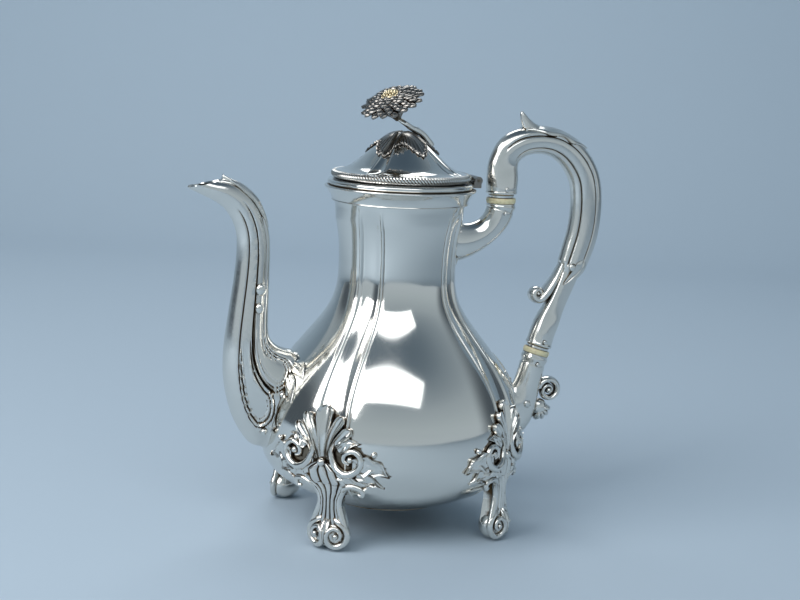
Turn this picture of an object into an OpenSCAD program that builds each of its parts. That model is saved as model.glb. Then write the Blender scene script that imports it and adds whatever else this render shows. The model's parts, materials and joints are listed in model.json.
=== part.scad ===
// Silver coffee pot with a lobed pear body, a scroll spout, a loop handle set
// between two ivory rings, four scroll feet and a hinged lid with a flower finial.
// Origin on the body's axis at table level, +Z up, +X to the handle, spout to -X.

/* [Body] */
// Height of the underside of the body shell
base_z = 14; // [12:0.5:17]
// Radius of the flat ring under the body
base_r = 34; // [30:0.5:38]
// Height of the widest part of the belly
belly_z = 47; // [44:0.5:50]
// Radius of the widest part of the belly
belly_r = 69.5; // [66:0.5:73]
// Height where the shoulder runs into the straight neck
neck_z = 131; // [126:0.5:136]
// Length of the straight neck
neck_len = 18; // [10:0.5:22]
// Radius of the neck
neck_r = 30.6; // [28:0.1:33]
// Height of the body shell's top edge
body_top_z = 175.5; // [172:0.5:178]
// Outer radius of the body shell's top edge
mouth_r = 36.2; // [34.5:0.1:38]
// Sheet thickness of the body
body_wall = 1; // [0.8:0.1:1.4]
// Radius of the bottom disc's opening in the shell
base_bore_r = 30; // [26:0.5:32]
// Thickness of the bottom disc
base_plate_t = 1.2; // [0.8:0.1:2]

/* [Lobes] */
// How far each of the four panels swells
panel_bulge = 1.4; // [0.5:0.1:2.5]
// Height of the ridge on each side of a strip
ridge_h = 0.5; // [0.2:0.1:1]
// How far each strip is sunk
strip_sink = 1; // [0.3:0.1:1.5]
// Half width of a strip at the belly
strip_belly_w = 9.5; // [7:0.1:11]
// Half width of a strip at the neck
strip_neck_w = 6.2; // [5:0.1:7.5]

/* [Mouth collar] */
// Height of the flaring band
collar_band_h = 7.6; // [6:0.1:9]
// Radius of the moulding's edge
collar_r = 40.8; // [39.5:0.1:43]
// Height of the moulding's edge
collar_edge_h = 0.9; // [0.6:0.1:1.2]
// Width of the ledge above the moulding
collar_ledge_w = 1.4; // [1:0.1:2]
// Height of the roll above the ledge
collar_roll_h = 3; // [2.4:0.1:4]
// Rounding of the roll's top
roll_round = 1.4; // [0.8:0.1:1.8]
// How far the collar's bore stands inside the shell's wall
collar_lap = 1; // [0.6:0.1:1.4]

/* [Lid] */
// Height of the lid's edge ring
lid_rim_h = 4.6; // [3.6:0.1:6]
// How far the rope edge stands inside the collar's moulding
lid_rim_inset = 3.6; // [3:0.1:5]
// Radius of the rope bead on the lid's edge
rope_r = 1.7; // [1.2:0.1:1.8]
// Depth of the rope bead's middle below the top of the edge ring
rope_drop = 2; // [1.8:0.1:2.4]
// How far the dome stands inside the rope edge
dome_inset = 2.6; // [2.2:0.1:3]
// Depth of the bezel that drops into the mouth
bezel_depth = 5; // [3:0.1:6]
// Wall of the bezel
bezel_wall = 0.8; // [0.6:0.1:1.2]
// Height of the dome above the edge ring
dome_h = 19.5; // [16:0.5:24]
// Sheet thickness of the dome
dome_wall = 0.9; // [0.7:0.1:1.2]
// How far the dome's panels swell
dome_bulge = 0.6; // [0.2:0.1:1]
// How far the dome's strips are sunk
dome_sink = 0.7; // [0.3:0.1:0.9]
// Half width of a strip on the dome
dome_strip_w = 3.4; // [2.5:0.1:4.5]

/* [Hinge] */
// Outer radius of the hinge knuckles
knuckle_r = 2.2; // [2:0.1:2.6]
// Radius of the hinge pin
hinge_pin_r = 0.8; // [0.6:0.05:1]
// Half width of the lid's middle knuckle
lid_knuckle_w = 2.4; // [2:0.1:3]
// Half width of the whole hinge
hinge_w = 7; // [6:0.1:8]
// Distance from the moulding's edge to the hinge axis
hinge_out = 1.5; // [1.2:0.1:2.2]
// Height of the hinge axis above the lid's underside
hinge_rise = 0.7; // [0.5:0.1:1]
// Thickness of the leaf that ties the lid to its knuckle
lid_leaf_t = 1.8; // [1.2:0.1:2]

/* [Spout] */
// Height of the root's lowest point on the body
spout_root_low_z = 42; // [40:0.5:46]
// Height of the root's highest point on the body
spout_root_high_z = 94.5; // [92:0.5:96]
// Half width of the root
spout_root_w = 13.5; // [12:0.5:15]
// Wall of the spout
spout_wall = 1.2; // [0.9:0.1:1.6]
// Radius of each strainer hole behind the spout
strainer_hole_r = 2; // [1.5:0.1:2.3]
// Pitch of the strainer holes
strainer_pitch = 6.5; // [6:0.1:7]

/* [Handle] */
// Height of the upper ivory ring's middle
upper_ring_z = 176.8; // [173:0.1:180]
// Height of the lower ivory ring's middle
lower_ring_z = 91.5; // [89:0.1:94]
// Distance from the belly to the lower ivory ring's axis
lower_ring_out = 15.8; // [14:0.1:19]
// Lean of the lower ivory ring's axis away from the body
lower_ring_tilt = 16; // [12:0.5:20]
// Gap between the hinge and the upper ivory ring
handle_clear = 6.2; // [5.4:0.1:8]
// Drop from the upper ivory ring to the root of its socket
upper_root_drop = 23; // [20:0.5:26]
// Half height of the upper socket's root
upper_root_h = 11.5; // [9:0.5:13]
// Half width of the upper socket's root
upper_root_w = 8; // [6:0.5:9]
// Drop from the lower ivory ring to the root of its socket
lower_root_drop = 31.5; // [29:0.5:34]
// Half height of the lower socket's root
lower_root_h = 21; // [17:0.5:22]
// Half width of the lower socket's root
lower_root_w = 6.6; // [5.5:0.1:8]
// Radius of the upper ivory ring
upper_ring_r = 8; // [7:0.1:9]
// Radius of the lower ivory ring
lower_ring_r = 7.4; // [6.8:0.1:8.4]
// Thickness of an ivory ring
ring_t = 3.2; // [2.4:0.1:4]
// Radius of the ivory rings' spigots
spigot_r = 3.6; // [3:0.1:4]
// Length of each spigot
spigot_len = 9; // [8:0.1:11]
// Half width of the handle across the pot
handle_w = 6.4; // [5.8:0.1:7]
// Wall of the hollow handle
handle_wall = 1.4; // [1:0.1:1.8]
// Radius of the cross pins
cross_pin_r = 0.8; // [0.6:0.05:1]
// Distance of a cross pin from its ivory ring's face
cross_pin_in = 5; // [4.5:0.1:5.5]

/* [Feet] */
// Radius from the pot's axis to the middle of a toe
foot_r = 63.5; // [62:0.5:65]
// Radius of the toe's roll
toe_r = 7.2; // [6.5:0.1:8]
// Width of the toe's roll
toe_w = 20; // [16:0.5:24]
// Height of the flat ground on each toe
toe_flat = 0.6; // [0.3:0.1:1]
// Depth of the leg from front to back
leg_d = 8; // [6:0.1:9]
// Half width of the leg at its waist
leg_w = 7; // [5.5:0.1:8]
// Height of the top of the shield on the body
shield_top_z = 74; // [70:0.5:78]
// Half width of the shield
shield_w = 31; // [26:0.5:32]
// Thickness of the shield's ground at its middle
shield_t = 1.4; // [1.2:0.1:2]
// Height of the shield's scrolls and shell over its back
ornament_h = 3.2; // [2.6:0.1:3.6]

/* [Finial] */
// Height of the flower's heart above the dome
flower_rise = 19; // [17:0.5:24]
// How far the flower's heart leans towards the spout
flower_out = 7.5; // [5:0.5:9]
// Tilt of the flower's face
flower_tilt = 29; // [20:1:32]
// Direction in which the flower faces
flower_turn = -150; // [-180:5:-120]
// Radius of the flower
flower_r = 17.4; // [15:0.1:18.5]
// Number of petals in the outer row
petal_count = 18; // [14:1:22]
// Radius of the stem where it meets the flower
stem_r = 1.2; // [0.9:0.1:1.5]
// Radius of the stem at its root
stem_root_r = 2; // [1.7:0.1:2.4]
// Radius of the stud that fastens the finial
stud_r = 1.5; // [1.2:0.1:1.8]
// Reach of the leaf's lobes from the middle of the dome
leaf_r = 19; // [16:0.5:21]
// Thickness of the leaf
leaf_t = 1.2; // [0.8:0.1:1.6]

/* [Fits] */
// Gap left for solder where pieces follow the body
solder_gap = 0.25; // [0.2:0.05:0.35]
// Radial clearance of the bezel in the mouth
bezel_clear = 0.7; // [0.5:0.1:1]
// Gap under the lid's edge ring
lid_gap = 0.3; // [0.2:0.05:0.5]
// Radial running clearance of the hinge pin
hinge_clear = 0.05; // [0.02:0.01:0.08]
// End play between hinge knuckles
knuckle_gap = 0.25; // [0.15:0.05:0.4]
// Radial clearance of pins, spigots and studs in their holes
pin_clear = 0.05; // [0.02:0.01:0.1]

/* [Hidden] */
$fn = 64;

silver = [0.78, 0.79, 0.80];
dark_silver = [0.62, 0.62, 0.63];
ivory = [0.93, 0.87, 0.68];
gilt = [0.85, 0.68, 0.36];

// Points of a lobed ring: steps across half a strip and across a panel
strip_steps = 2;
panel_steps = 8;
// Exponents of the belly's and the shoulder's curves
belly_power = 2.7;
shoulder_skew = 1.43;
// Height over which the lobes die away at the shell's two ends
lobe_fade = 12;

// Heights of the rings stacked on the body
neck_top_z = neck_z + neck_len;
ledge_z = body_top_z + collar_band_h + collar_edge_h;
collar_top_z = ledge_z + collar_roll_h;
collar_bore_r = mouth_r - body_wall - collar_lap;
roll_r = collar_r - collar_ledge_w;
lid_z = collar_top_z + lid_gap;
lid_top_z = lid_z + lid_rim_h;
lid_rim_r = collar_r - lid_rim_inset;
bezel_r = collar_bore_r - bezel_clear;
dome_r = lid_rim_r - dome_inset;
dome_top_z = lid_top_z + dome_h;
hinge_x = collar_r + hinge_out;
hinge_z = lid_z + hinge_rise;

// Seats of the two ivory rings
upper_ring_x = hinge_x + knuckle_r + handle_clear + upper_ring_r;
lower_ring_x = belly_r + lower_ring_out;
lower_up = [sin(lower_ring_tilt), cos(lower_ring_tilt)];
lower_out = [cos(lower_ring_tilt), -sin(lower_ring_tilt)];

// Blends between two values
function mix(a, b, t) = a + (b - a) * t;
function unit(v) = v / norm(v);

// One span of a smooth curve through four points
function curve(p, q, r, s, t) = 0.5 * (2 * q + (r - p) * t
    + (2 * p - 5 * q + 4 * r - s) * t * t + (3 * q - p - 3 * r + s) * t * t * t);

// Smooth list of stations through the given ones
function smooth(list, steps) = let (n = len(list)) [
    for (i = [0 : n - 2], k = [0 : steps - 1])
        curve(list[max(i - 1, 0)], list[i], list[i + 1], list[min(i + 2, n - 1)], k / steps),
    list[n - 1]
];

// Radius of the body's round form at a height
function belly_curve(z) = let (s = (z - base_z) / (belly_z - base_z))
    mix(base_r, belly_r, 1 - pow(1 - s, belly_power));
function shoulder_curve(z) = let (t = (z - belly_z) / (neck_z - belly_z))
    mix(neck_r, belly_r, (1 + cos(180 * pow(t, shoulder_skew))) / 2);
function flare_curve(z) = let (u = (z - neck_top_z) / (body_top_z - neck_top_z))
    mix(neck_r, mouth_r, u * u);
function round_r(z) = z <= base_z ? base_r
    : z < belly_z ? belly_curve(z)
    : z < neck_z ? shoulder_curve(z)
    : z < neck_top_z ? neck_r
    : flare_curve(min(z, body_top_z));

// Half angle of the strips at a height
function strip_w(z) = let (t = min(1, max(0, (z - belly_z) / (neck_z - belly_z))))
    mix(strip_belly_w, strip_neck_w, t);
function strip_angle(w, r) = asin(min(0.5, w / r));

// Angle from the nearest strip's middle line, 0 to 45 degrees
function from_strip(angle) = let (a = ((angle % 90) + 90) % 90) abs(a - 45);

// Rise of the lobed section over the round one
function lobe(a, h, bulge, ridge, sink) = a < h
    ? mix(-sink, ridge, pow(a / h, 2))
    : mix(ridge, bulge, sin(90 * (a - h) / (45 - h)));
function body_fade(z) = max(0, min(1, (z - base_z) / lobe_fade, (body_top_z - z) / lobe_fade));
function body_r(angle, z) = round_r(z) + body_fade(z)
    * lobe(from_strip(angle), strip_angle(strip_w(z), round_r(z)), panel_bulge, ridge_h, strip_sink);

// Angles of a lobed ring's points, finest across the strips
function quarter_angles(h) = concat(
    [for (i = [-strip_steps : strip_steps - 1]) h * i / strip_steps],
    [for (i = [0 : panel_steps - 1]) h + (90 - 2 * h) * i / panel_steps]);
function ring_angles(h) = [for (q = [0 : 3], a = quarter_angles(h)) 45 + 90 * q + a];

// Distance from the pot's middle plane to the body along X, solder gap included
function body_x(y, z, tries = 4, x = -1) = let (
    x0 = x < 0 ? sqrt(pow(round_r(z), 2) - y * y) : x,
    r = body_r(atan2(y, x0), z) + solder_gap,
    x1 = sqrt(r * r - y * y)) tries == 0 ? x1 : body_x(y, z, tries - 1, x1);

// Closed skin through loops of points: the last loop joins the first one,
// or both ends are closed by a fan
module skin(loops, joined) {
    n = len(loops[0]);
    m = len(loops);
    points = [for (loop = loops) each loop];
    sides = [
        for (i = [0 : joined ? m - 1 : m - 2], j = [0 : n - 1])
            let (a = i * n + j, b = i * n + (j + 1) % n,
                c = ((i + 1) % m) * n + (j + 1) % n, d = ((i + 1) % m) * n + j)
                each [[a, c, b], [a, d, c]]
    ];
    ends = joined ? [] : [
        for (j = [0 : n - 1])
            let (k = (j + 1) % n, far = (m - 1) * n)
                each [[m * n, j, k], [m * n + 1, far + k, far + j]]
    ];
    tips = joined ? [] : [mean(loops[0]), mean(loops[m - 1])];
    polyhedron(concat(points, tips), concat(sides, ends));
}
function mean(points) = [for (k = [0 : 2]) sum([for (p = points) p[k]]) / len(points)];
function sum(values, i = 0) = i == len(values) ? 0 : values[i] + sum(values, i + 1);

// Oval loop of a station [front x, front z, back x, back z, half width];
// side is 1 or -1 and sets which way round the loop runs
function oval(s, n, side, inset = 0) = let (
    c = [s[0] + s[2], s[1] + s[3]] / 2,
    h = [s[0] - s[2], s[1] - s[3]] / 2,
    k = 1 - inset / norm(h))
    [for (j = [0 : n - 1]) let (a = 360 * j / n)
        [c.x + h.x * k * cos(a), side * (s[4] - inset) * sin(a), c.y + h.y * k * cos(a)]];

// Same loop set on the body's wall, on the side of the pot that side_x names
function seated(loop, side_x) = [for (p = loop) [side_x * body_x(p.y, p.z), p.y, p.z]];

// Turns a path of [x, z, half depth, half width] into stations across the path;
// ends gives the path's direction at its two ends
function across(path, ends) = let (n = len(path)) [
    for (i = [0 : n - 1]) let (
        p = [path[i][0], path[i][1]],
        q = path[max(i - 1, 0)],
        r = path[min(i + 1, n - 1)],
        t = i == 0 ? ends[0] : i == n - 1 ? ends[1] : unit([r[0] - q[0], r[1] - q[1]]),
        o = [-t.y, t.x] * path[i][2])
        [p.x + o.x, p.y + o.y, p.x - o.x, p.y - o.y, path[i][3]]
];

// Point of a cubic curve through two end points with two handles
function bezier(a, b, c, d, t) = a * pow(1 - t, 3) + 3 * b * t * pow(1 - t, 2)
    + 3 * c * t * t * (1 - t) + d * pow(t, 3);

// Thickness of a leaf's edge
leaf_edge_t = 0.4;
// Loops of a thin leaf lying on one side of a run of stations: half_angle and
// rise are lists with one value for each station, at_angle is the leaf's middle
function leaf_loops(stations, at_angle, half_angles, rises, side) = [
    for (i = [0 : len(stations) - 1]) let (
        s = stations[i],
        steps = [for (k = [-3 : 3]) at_angle + half_angles[i] * k / 3],
        low = [for (a = steps) oval_point(s, a, side, solder_gap)],
        high = [for (a = steps) oval_point(s, a, side,
            solder_gap + leaf_edge_t + rises[i] * cos(85 * (a - at_angle) / half_angles[i]))])
        concat(low, [for (k = [6 : -1 : 0]) high[k]])
];
function oval_point(s, a, side, out) = let (
    c = [s[0] + s[2], s[1] + s[3]] / 2,
    h = [s[0] - s[2], s[1] - s[3]] / 2,
    k = 1 + out / norm(h))
    [c.x + h.x * k * cos(a), side * (s[4] + out) * sin(a), c.y + h.y * k * cos(a)];

// Body
belly_rings = 6;
belly_ease = 1.4;
shoulder_rings = 10;
flare_rings = 4;
body_heights = concat(
    [for (i = [0 : belly_rings - 1]) mix(base_z, belly_z, pow(i / belly_rings, belly_ease))],
    [for (i = [0 : shoulder_rings - 1]) mix(belly_z, neck_z, i / shoulder_rings)],
    [neck_z, (neck_z + neck_top_z) / 2],
    [for (i = [0 : flare_rings]) mix(neck_top_z, body_top_z, i / flare_rings)]);
// Slope of the round form, as the unit vector out of the wall in the (r, z) plane
function wall_out(z) = let (dz = 0.5, dr = round_r(z + dz) - round_r(z - dz)) unit([2 * dz, -dr]);
function body_loop(z, inset) = let (
    out = z <= base_z ? [0, -1] : z >= body_top_z ? [1, 0] : wall_out(z))
    [for (a = ring_angles(strip_angle(strip_w(z), round_r(z))))
        let (r = body_r(a, z) - inset * out.x) [r * cos(a), r * sin(a), z - inset * out.y]];
function flat_loop(r, z) = [
    for (a = ring_angles(strip_angle(strip_belly_w, base_r))) [r * cos(a), r * sin(a), z]
];

// Seven strainer holes behind the spout, in three staggered rows
strainer_z = (spout_root_low_z + spout_root_high_z) / 2;
strainer_row = strainer_pitch * sin(60);
module strainer_holes() {
    for (row = [-1 : 1], k = [-1 : 1])
        if (row == 0 || k != 1)
            translate([-belly_r, strainer_pitch * (k + abs(row) / 2), strainer_z + strainer_row * row])
                rotate([0, 90, 0]) cylinder(r = strainer_hole_r, h = belly_r / 2, center = true);
}

module body_shell() {
    outer = [for (z = body_heights) body_loop(z, 0)];
    inner = [for (i = [len(body_heights) - 1 : -1 : 1]) body_loop(body_heights[i], body_wall)];
    color(silver) difference() {
        skin(concat([flat_loop(base_bore_r, base_z)], outer, inner,
            [flat_loop(base_bore_r, base_z + body_wall)]), true);
        strainer_holes();
    }
}

module base_plate() {
    color(dark_silver) translate([0, 0, base_z - base_plate_t])
        cylinder(r = (base_bore_r + base_r) / 2, h = base_plate_t);
}

// Mouth
collar_step = 0.3;
collar_flare = 1.5;
collar_bands = 4;
edge_round = 0.4;
collar_foot_r = mouth_r + collar_step;
collar_edge_z = ledge_z - collar_edge_h;
function collar_band(t) = [
    mix(collar_foot_r, collar_r - edge_round, pow(t, collar_flare)),
    mix(body_top_z, collar_edge_z - edge_round, t)
];
module mouth_collar() {
    color(silver) rotate_extrude() polygon(concat(
        [[collar_bore_r, body_top_z]],
        [for (i = [0 : collar_bands]) collar_band(i / collar_bands)],
        [[collar_r, collar_edge_z], [collar_r, ledge_z], [roll_r, ledge_z]],
        [for (a = [0 : 30 : 90])
            [roll_r - roll_round * (1 - cos(a)), collar_top_z - roll_round * (1 - sin(a))]],
        [[collar_bore_r, collar_top_z]]));
}

// Spout stations from the belly out: front and back edge as distance from the
// belly and height, then half width
spout_stations = [
    [8.5, 46, -9, 95.5, 13],
    [14, 52.5, -3.5, 97.5, 12.4],
    [18.8, 61.5, 0, 100.5, 11.8],
    [22, 72, 1.8, 104, 11.2],
    [23.7, 82, 2.5, 108.5, 10.5],
    [24.1, 91.5, 2.6, 113, 10],
    [23.5, 102, 2.6, 119, 9.4],
    [21.5, 118, 2.5, 128, 8.6],
    [19.5, 133, 2.5, 138, 8],
    [18.3, 146, 2.5, 148, 7.5],
    [18.5, 157, 3.2, 157.5, 7.2],
    [21, 165, 5.5, 167, 7.2],
    [25.5, 171, 9.8, 176, 7.2],
    [31.5, 175.2, 16.5, 182.2, 7],
    [38.5, 178.6, 22.5, 185, 6.4],
    [46, 182, 28.5, 186, 5]
];
spout_sides = 16;
spout_run = [
    for (s = smooth(spout_stations, 2)) [-belly_r - s[0], s[1], -belly_r - s[2], s[3], s[4]]
];
spout_root = [-belly_r, spout_root_low_z, -belly_r, spout_root_high_z, spout_root_w];

module spout() {
    outer = [for (s = spout_run) oval(s, spout_sides, -1)];
    inner = [for (i = [len(spout_run) - 1 : -1 : 0]) oval(spout_run[i], spout_sides, -1, spout_wall)];
    color(silver) skin(concat(
        [seated(oval(spout_root, spout_sides, -1), -1)], outer, inner,
        [seated(oval(spout_root, spout_sides, -1, spout_wall), -1)]), true);
}

// Leaf that lies on the back of the spout and ends in a hook over the lip
spout_leaf_rings = 10;
spout_leaf_angles = [20, 55];
spout_leaf_rises = [0.5, 1.6];
module spout_leaf() {
    n = spout_leaf_rings;
    run = [for (i = [0 : n - 1]) spout_run[len(spout_run) - n + i]];
    color(silver) skin(leaf_loops(run, 180,
        [for (i = [0 : n - 1]) mix(spout_leaf_angles[0], spout_leaf_angles[1], sin(180 * (i + 1) / (n + 1)))],
        [for (i = [0 : n - 1]) mix(spout_leaf_rises[0], spout_leaf_rises[1], i / (n - 1))], 1), false);
}

// Ivory rings, each with a spigot up and a spigot down
module along_upper() {
    translate([upper_ring_x, 0, upper_ring_z]) children();
}
module along_lower() {
    translate([lower_ring_x, 0, lower_ring_z]) rotate([0, lower_ring_tilt, 0]) children();
}
cross_pin_z = ring_t / 2 + cross_pin_in;
module cross_hole(z, r, half) {
    translate([0, 0, z]) rotate([90, 0, 0]) cylinder(r = r, h = 2 * half, center = true);
}
module insulator(r) {
    edge = ring_t / 5;
    difference() {
        rotate_extrude() polygon([
            [0, -ring_t / 2 - spigot_len], [spigot_r, -ring_t / 2 - spigot_len],
            [spigot_r, -ring_t / 2], [r - edge, -ring_t / 2], [r, -ring_t / 2 + edge],
            [r, ring_t / 2 - edge], [r - edge, ring_t / 2], [spigot_r, ring_t / 2],
            [spigot_r, ring_t / 2 + spigot_len], [0, ring_t / 2 + spigot_len]]);
        for (z = [-cross_pin_z, cross_pin_z])
            cross_hole(z, cross_pin_r + pin_clear, r);
    }
}
module upper_insulator() {
    color(ivory) along_upper() insulator(upper_ring_r);
}
module lower_insulator() {
    color(ivory) along_lower() insulator(lower_ring_r);
}
module cross_pin(z, half) {
    color(dark_silver) cross_hole(z, cross_pin_r, half);
}
module upper_handle_pin() {
    along_upper() cross_pin(cross_pin_z, upper_ring_r);
}
module upper_socket_pin() {
    along_upper() cross_pin(-cross_pin_z, upper_ring_r);
}
module lower_handle_pin() {
    along_lower() cross_pin(cross_pin_z, lower_ring_r);
}
module lower_socket_pin() {
    along_lower() cross_pin(-cross_pin_z, lower_ring_r);
}

// How far a socket's or the handle's end stands inside its ivory ring's edge
seat_step = 0.15;
// How far a spigot's bore runs past it
bore_over = 0.15;
// Bores for a spigot and its cross pin, in an ivory ring's own frame
module seat_bores(up, r) {
    translate([0, 0, up * (ring_t / 2 + spigot_len / 2)])
        cylinder(r = spigot_r + pin_clear, h = spigot_len + 2 * bore_over, center = true);
    cross_hole(up * cross_pin_z, cross_pin_r + pin_clear, 2 * r);
}

// Sockets: curved arms from the body up to the ivory rings
socket_sides = 16;
socket_steps = 9;
socket_ease = 2.2;
// Path of a socket with half depth and half width easing from root to seat
function socket_path(a, b, c, d, root, seat_r) = [
    for (i = [0 : socket_steps]) let (
        t = i / socket_steps,
        p = bezier(a, b, c, d, t),
        e = pow(1 - t, socket_ease))
        [p.x, p.y, mix(seat_r, root[0], e), mix(seat_r, root[1], e)]
];
// Shares of the root's oval that lie on the body, from its middle to its edge
root_shares = [0.03, 0.35, 0.7, 1];
function root_loop(root, share) = seated(oval(
    [root[0], root[1] + root[2] * share, root[0], root[1] - root[2] * share, root[3] * share],
    socket_sides, -1), 1);
module socket(path, ends) {
    stations = across(path, ends);
    skin(concat(
        [for (share = root_shares) root_loop(path[0], share)],
        [for (i = [1 : len(stations) - 1]) oval(stations[i], socket_sides, -1)]), false);
}

// Reach of each socket's curve out from the body, as a share of its way, and
// the length that runs straight into the seat
upper_lead = 0.55;
upper_straight = 12;
upper_seat = [upper_ring_x, upper_ring_z - ring_t / 2];
module upper_socket() {
    start = [neck_r, upper_ring_z - upper_root_drop];
    lead = [upper_lead * (upper_ring_x - neck_r), 0];
    color(silver) difference() {
        socket(socket_path(start, start + lead, upper_seat - [0, upper_straight], upper_seat,
            [upper_root_h, upper_root_w], upper_ring_r - seat_step), [[1, 0], [0, 1]]);
        along_upper() seat_bores(-1, upper_ring_r);
    }
}

lower_lead = 0.7;
lower_lift = 2;
lower_straight = 18;
lower_seat = [lower_ring_x, lower_ring_z] - lower_up * ring_t / 2;
// Rolls of the lower socket: distance out from its ring's axis, drop and radius
scroll_w = 4;
scroll_rolls = [[8.6, 21.5, 5.4], [5, 25, 3.8], [7, 35, 4.8], [2.5, 34, 4.4]];
module lower_socket() {
    start = [belly_r, lower_ring_z - lower_root_drop];
    lead = [lower_lead * lower_ring_out, lower_lift];
    color(silver) difference() {
        union() {
            socket(socket_path(start, start + lead, lower_seat - lower_straight * lower_up, lower_seat,
                [lower_root_h, lower_root_w], lower_ring_r - seat_step), [[1, 0], lower_up]);
            for (roll = scroll_rolls)
                translate([lower_ring_x + roll[0], 0, lower_ring_z - roll[1]]) scroll_roll(roll[2]);
        }
        along_lower() seat_bores(-1, lower_ring_r);
    }
}
module scroll_roll(r) {
    rotate([90, 0, 0]) cylinder(r = r, h = 2 * scroll_w, center = true);
}

// Handle: a hollow loop from the upper ivory ring over and down to the lower one.
// Each point leans on both seats by its share, then stands off by x and z
handle_sides = 14;
handle_top_seat = [upper_ring_x, upper_ring_z + ring_t / 2];
handle_low_seat = [lower_ring_x, lower_ring_z] + lower_up * ring_t / 2;
bore_end = 1.5;
handle_straight = spigot_len + bore_end;
// How much deeper the handle grows above its upper seat
handle_swell = 0.8;
// Share of the lower seat, stand-off x, stand-off z, half depth
handle_points = [
    [0, 0, 18, 8.5],
    [0, 2.6, 24.8, 7.8],
    [0, 7.8, 29.2, 7.1],
    [0, 15, 31.4, 6.6],
    [0, 23.5, 31.6, 6.4],
    [0, 31.3, 29.8, 6.6],
    [0, 38.4, 25.8, 7.1],
    [0, 44.6, 19.6, 7.6],
    [0, 49.3, 11.4, 7.9],
    [0, 51.3, 1.5, 8.1],
    [0, 51.5, -10, 8.2],
    [0, 50.2, -20.4, 8.2],
    [0, 47.5, -30.2, 8],
    [0, 44.3, -39.5, 7.3],
    [1, 13.8, 36.5, 6.9],
    [1, 9.9, 27, 6.8],
    [1, 6.2, 18.5, 7.2]
];
function handle_at(p) = let (o = mix(handle_top_seat, handle_low_seat, p[0]))
    [o.x + p[1], o.y + p[2], p[3], handle_w];
function top_run(d) = let (r = upper_ring_r - seat_step)
    [handle_top_seat.x, handle_top_seat.y + d, r + handle_swell * d / handle_straight, r];
function low_run(d) = let (p = handle_low_seat + lower_up * d, r = lower_ring_r - seat_step) [p.x, p.y, r, r];
handle_ends = [[0, 1], -lower_up];
handle_path = concat([top_run(0), top_run(handle_straight / 2), top_run(handle_straight)],
    smooth([for (p = handle_points) handle_at(p)], 2),
    [low_run(handle_straight), low_run(handle_straight / 2), low_run(0)]);
handle_run = across(handle_path, handle_ends);
// The hollow narrows to a bore for the spigots at both ends
bore_poly_r = (spigot_r + pin_clear) / cos(180 / handle_sides);
handle_hollow = across([
    for (i = [0 : len(handle_path) - 1]) let (p = handle_path[i], bored = i < 3 || i > len(handle_path) - 4)
        bored ? [p[0], p[1], bore_poly_r, bore_poly_r]
            : [p[0], p[1], p[2] - handle_wall, p[3] - handle_wall]
], handle_ends);
module handle() {
    color(silver) difference() {
        skin(concat([for (s = handle_run) oval(s, handle_sides, -1)],
            [for (i = [len(handle_hollow) - 1 : -1 : 0]) oval(handle_hollow[i], handle_sides, -1)]), true);
        along_upper() cross_hole(cross_pin_z, cross_pin_r + pin_clear, 2 * upper_ring_r);
        along_lower() cross_hole(cross_pin_z, cross_pin_r + pin_clear, 2 * lower_ring_r);
    }
}

// Leaf under the thumb, along the top of the loop
thumb_from = 9;
thumb_to = 18;
thumb_rise = 8;
thumb_ridge = 1.4;
thumb_point = 5;
thumb_angles = [24, 45];
module thumb_leaf() {
    run = [for (i = [thumb_from : thumb_to]) handle_run[i]];
    n = len(run);
    color(silver) skin(leaf_loops(run, 0,
        [for (i = [0 : n - 1]) mix(thumb_angles[0], thumb_angles[1], sin(180 * (i + 1) / (n + 1)))],
        [for (i = [0 : n - 1]) thumb_rise * pow(1 - i / n, thumb_point)
            + thumb_ridge * sin(180 * (i + 1) / (n + 1))], 1), false);
}

// Scroll that leaves the loop's inner side and curls up
curl_from = 28;
curl_to = 33;
curl_w = 4.6;
curl_t = 2;
curl_r = 3.2;
curl_turn = 300;
function below_handle(s, d) = let (c = [s[0] + s[2], s[1] + s[3]] / 2, o = [s[2], s[3]] - c)
    c + o * (1 + d / norm(o));
// Thickness of the curl at its start, at the bend and at its end, as shares of curl_t
curl_shares = [0.5, 0.95, 0.55];
curl_close = 0.55;
curl_narrow = 0.8;
curl_sides = 10;
function heading(path, i) = unit([path[i + 1][0] - path[i][0], path[i + 1][1] - path[i][1]]);
module handle_curl() {
    count = curl_to - curl_from;
    lead = [for (i = [0 : count]) let (
        t = curl_t * mix(curl_shares[0], curl_shares[1], i / count),
        p = below_handle(handle_run[curl_from + i], solder_gap + t))
        [p.x, p.y, t, curl_w]];
    way = heading(lead, count - 1);
    start = atan2(way.y, way.x);
    // The curl turns clockwise round a centre that closes in
    centre = [lead[count][0], lead[count][1]] + curl_r * [way.y, -way.x];
    turn = [for (a = [30 : 30 : curl_turn]) let (
        share = a / curl_turn,
        r = curl_r * mix(1, curl_close, share),
        b = start + 90 - a)
        [centre.x + r * cos(b), centre.y + r * sin(b),
            curl_t * mix(curl_shares[1], curl_shares[2], share), curl_w * mix(1, curl_narrow, share)]];
    path = concat(lead, turn);
    ends = [heading(path, 0), heading(path, len(path) - 2)];
    color(silver) skin([for (s = across(path, ends)) oval(s, curl_sides, -1)], false);
}

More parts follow.
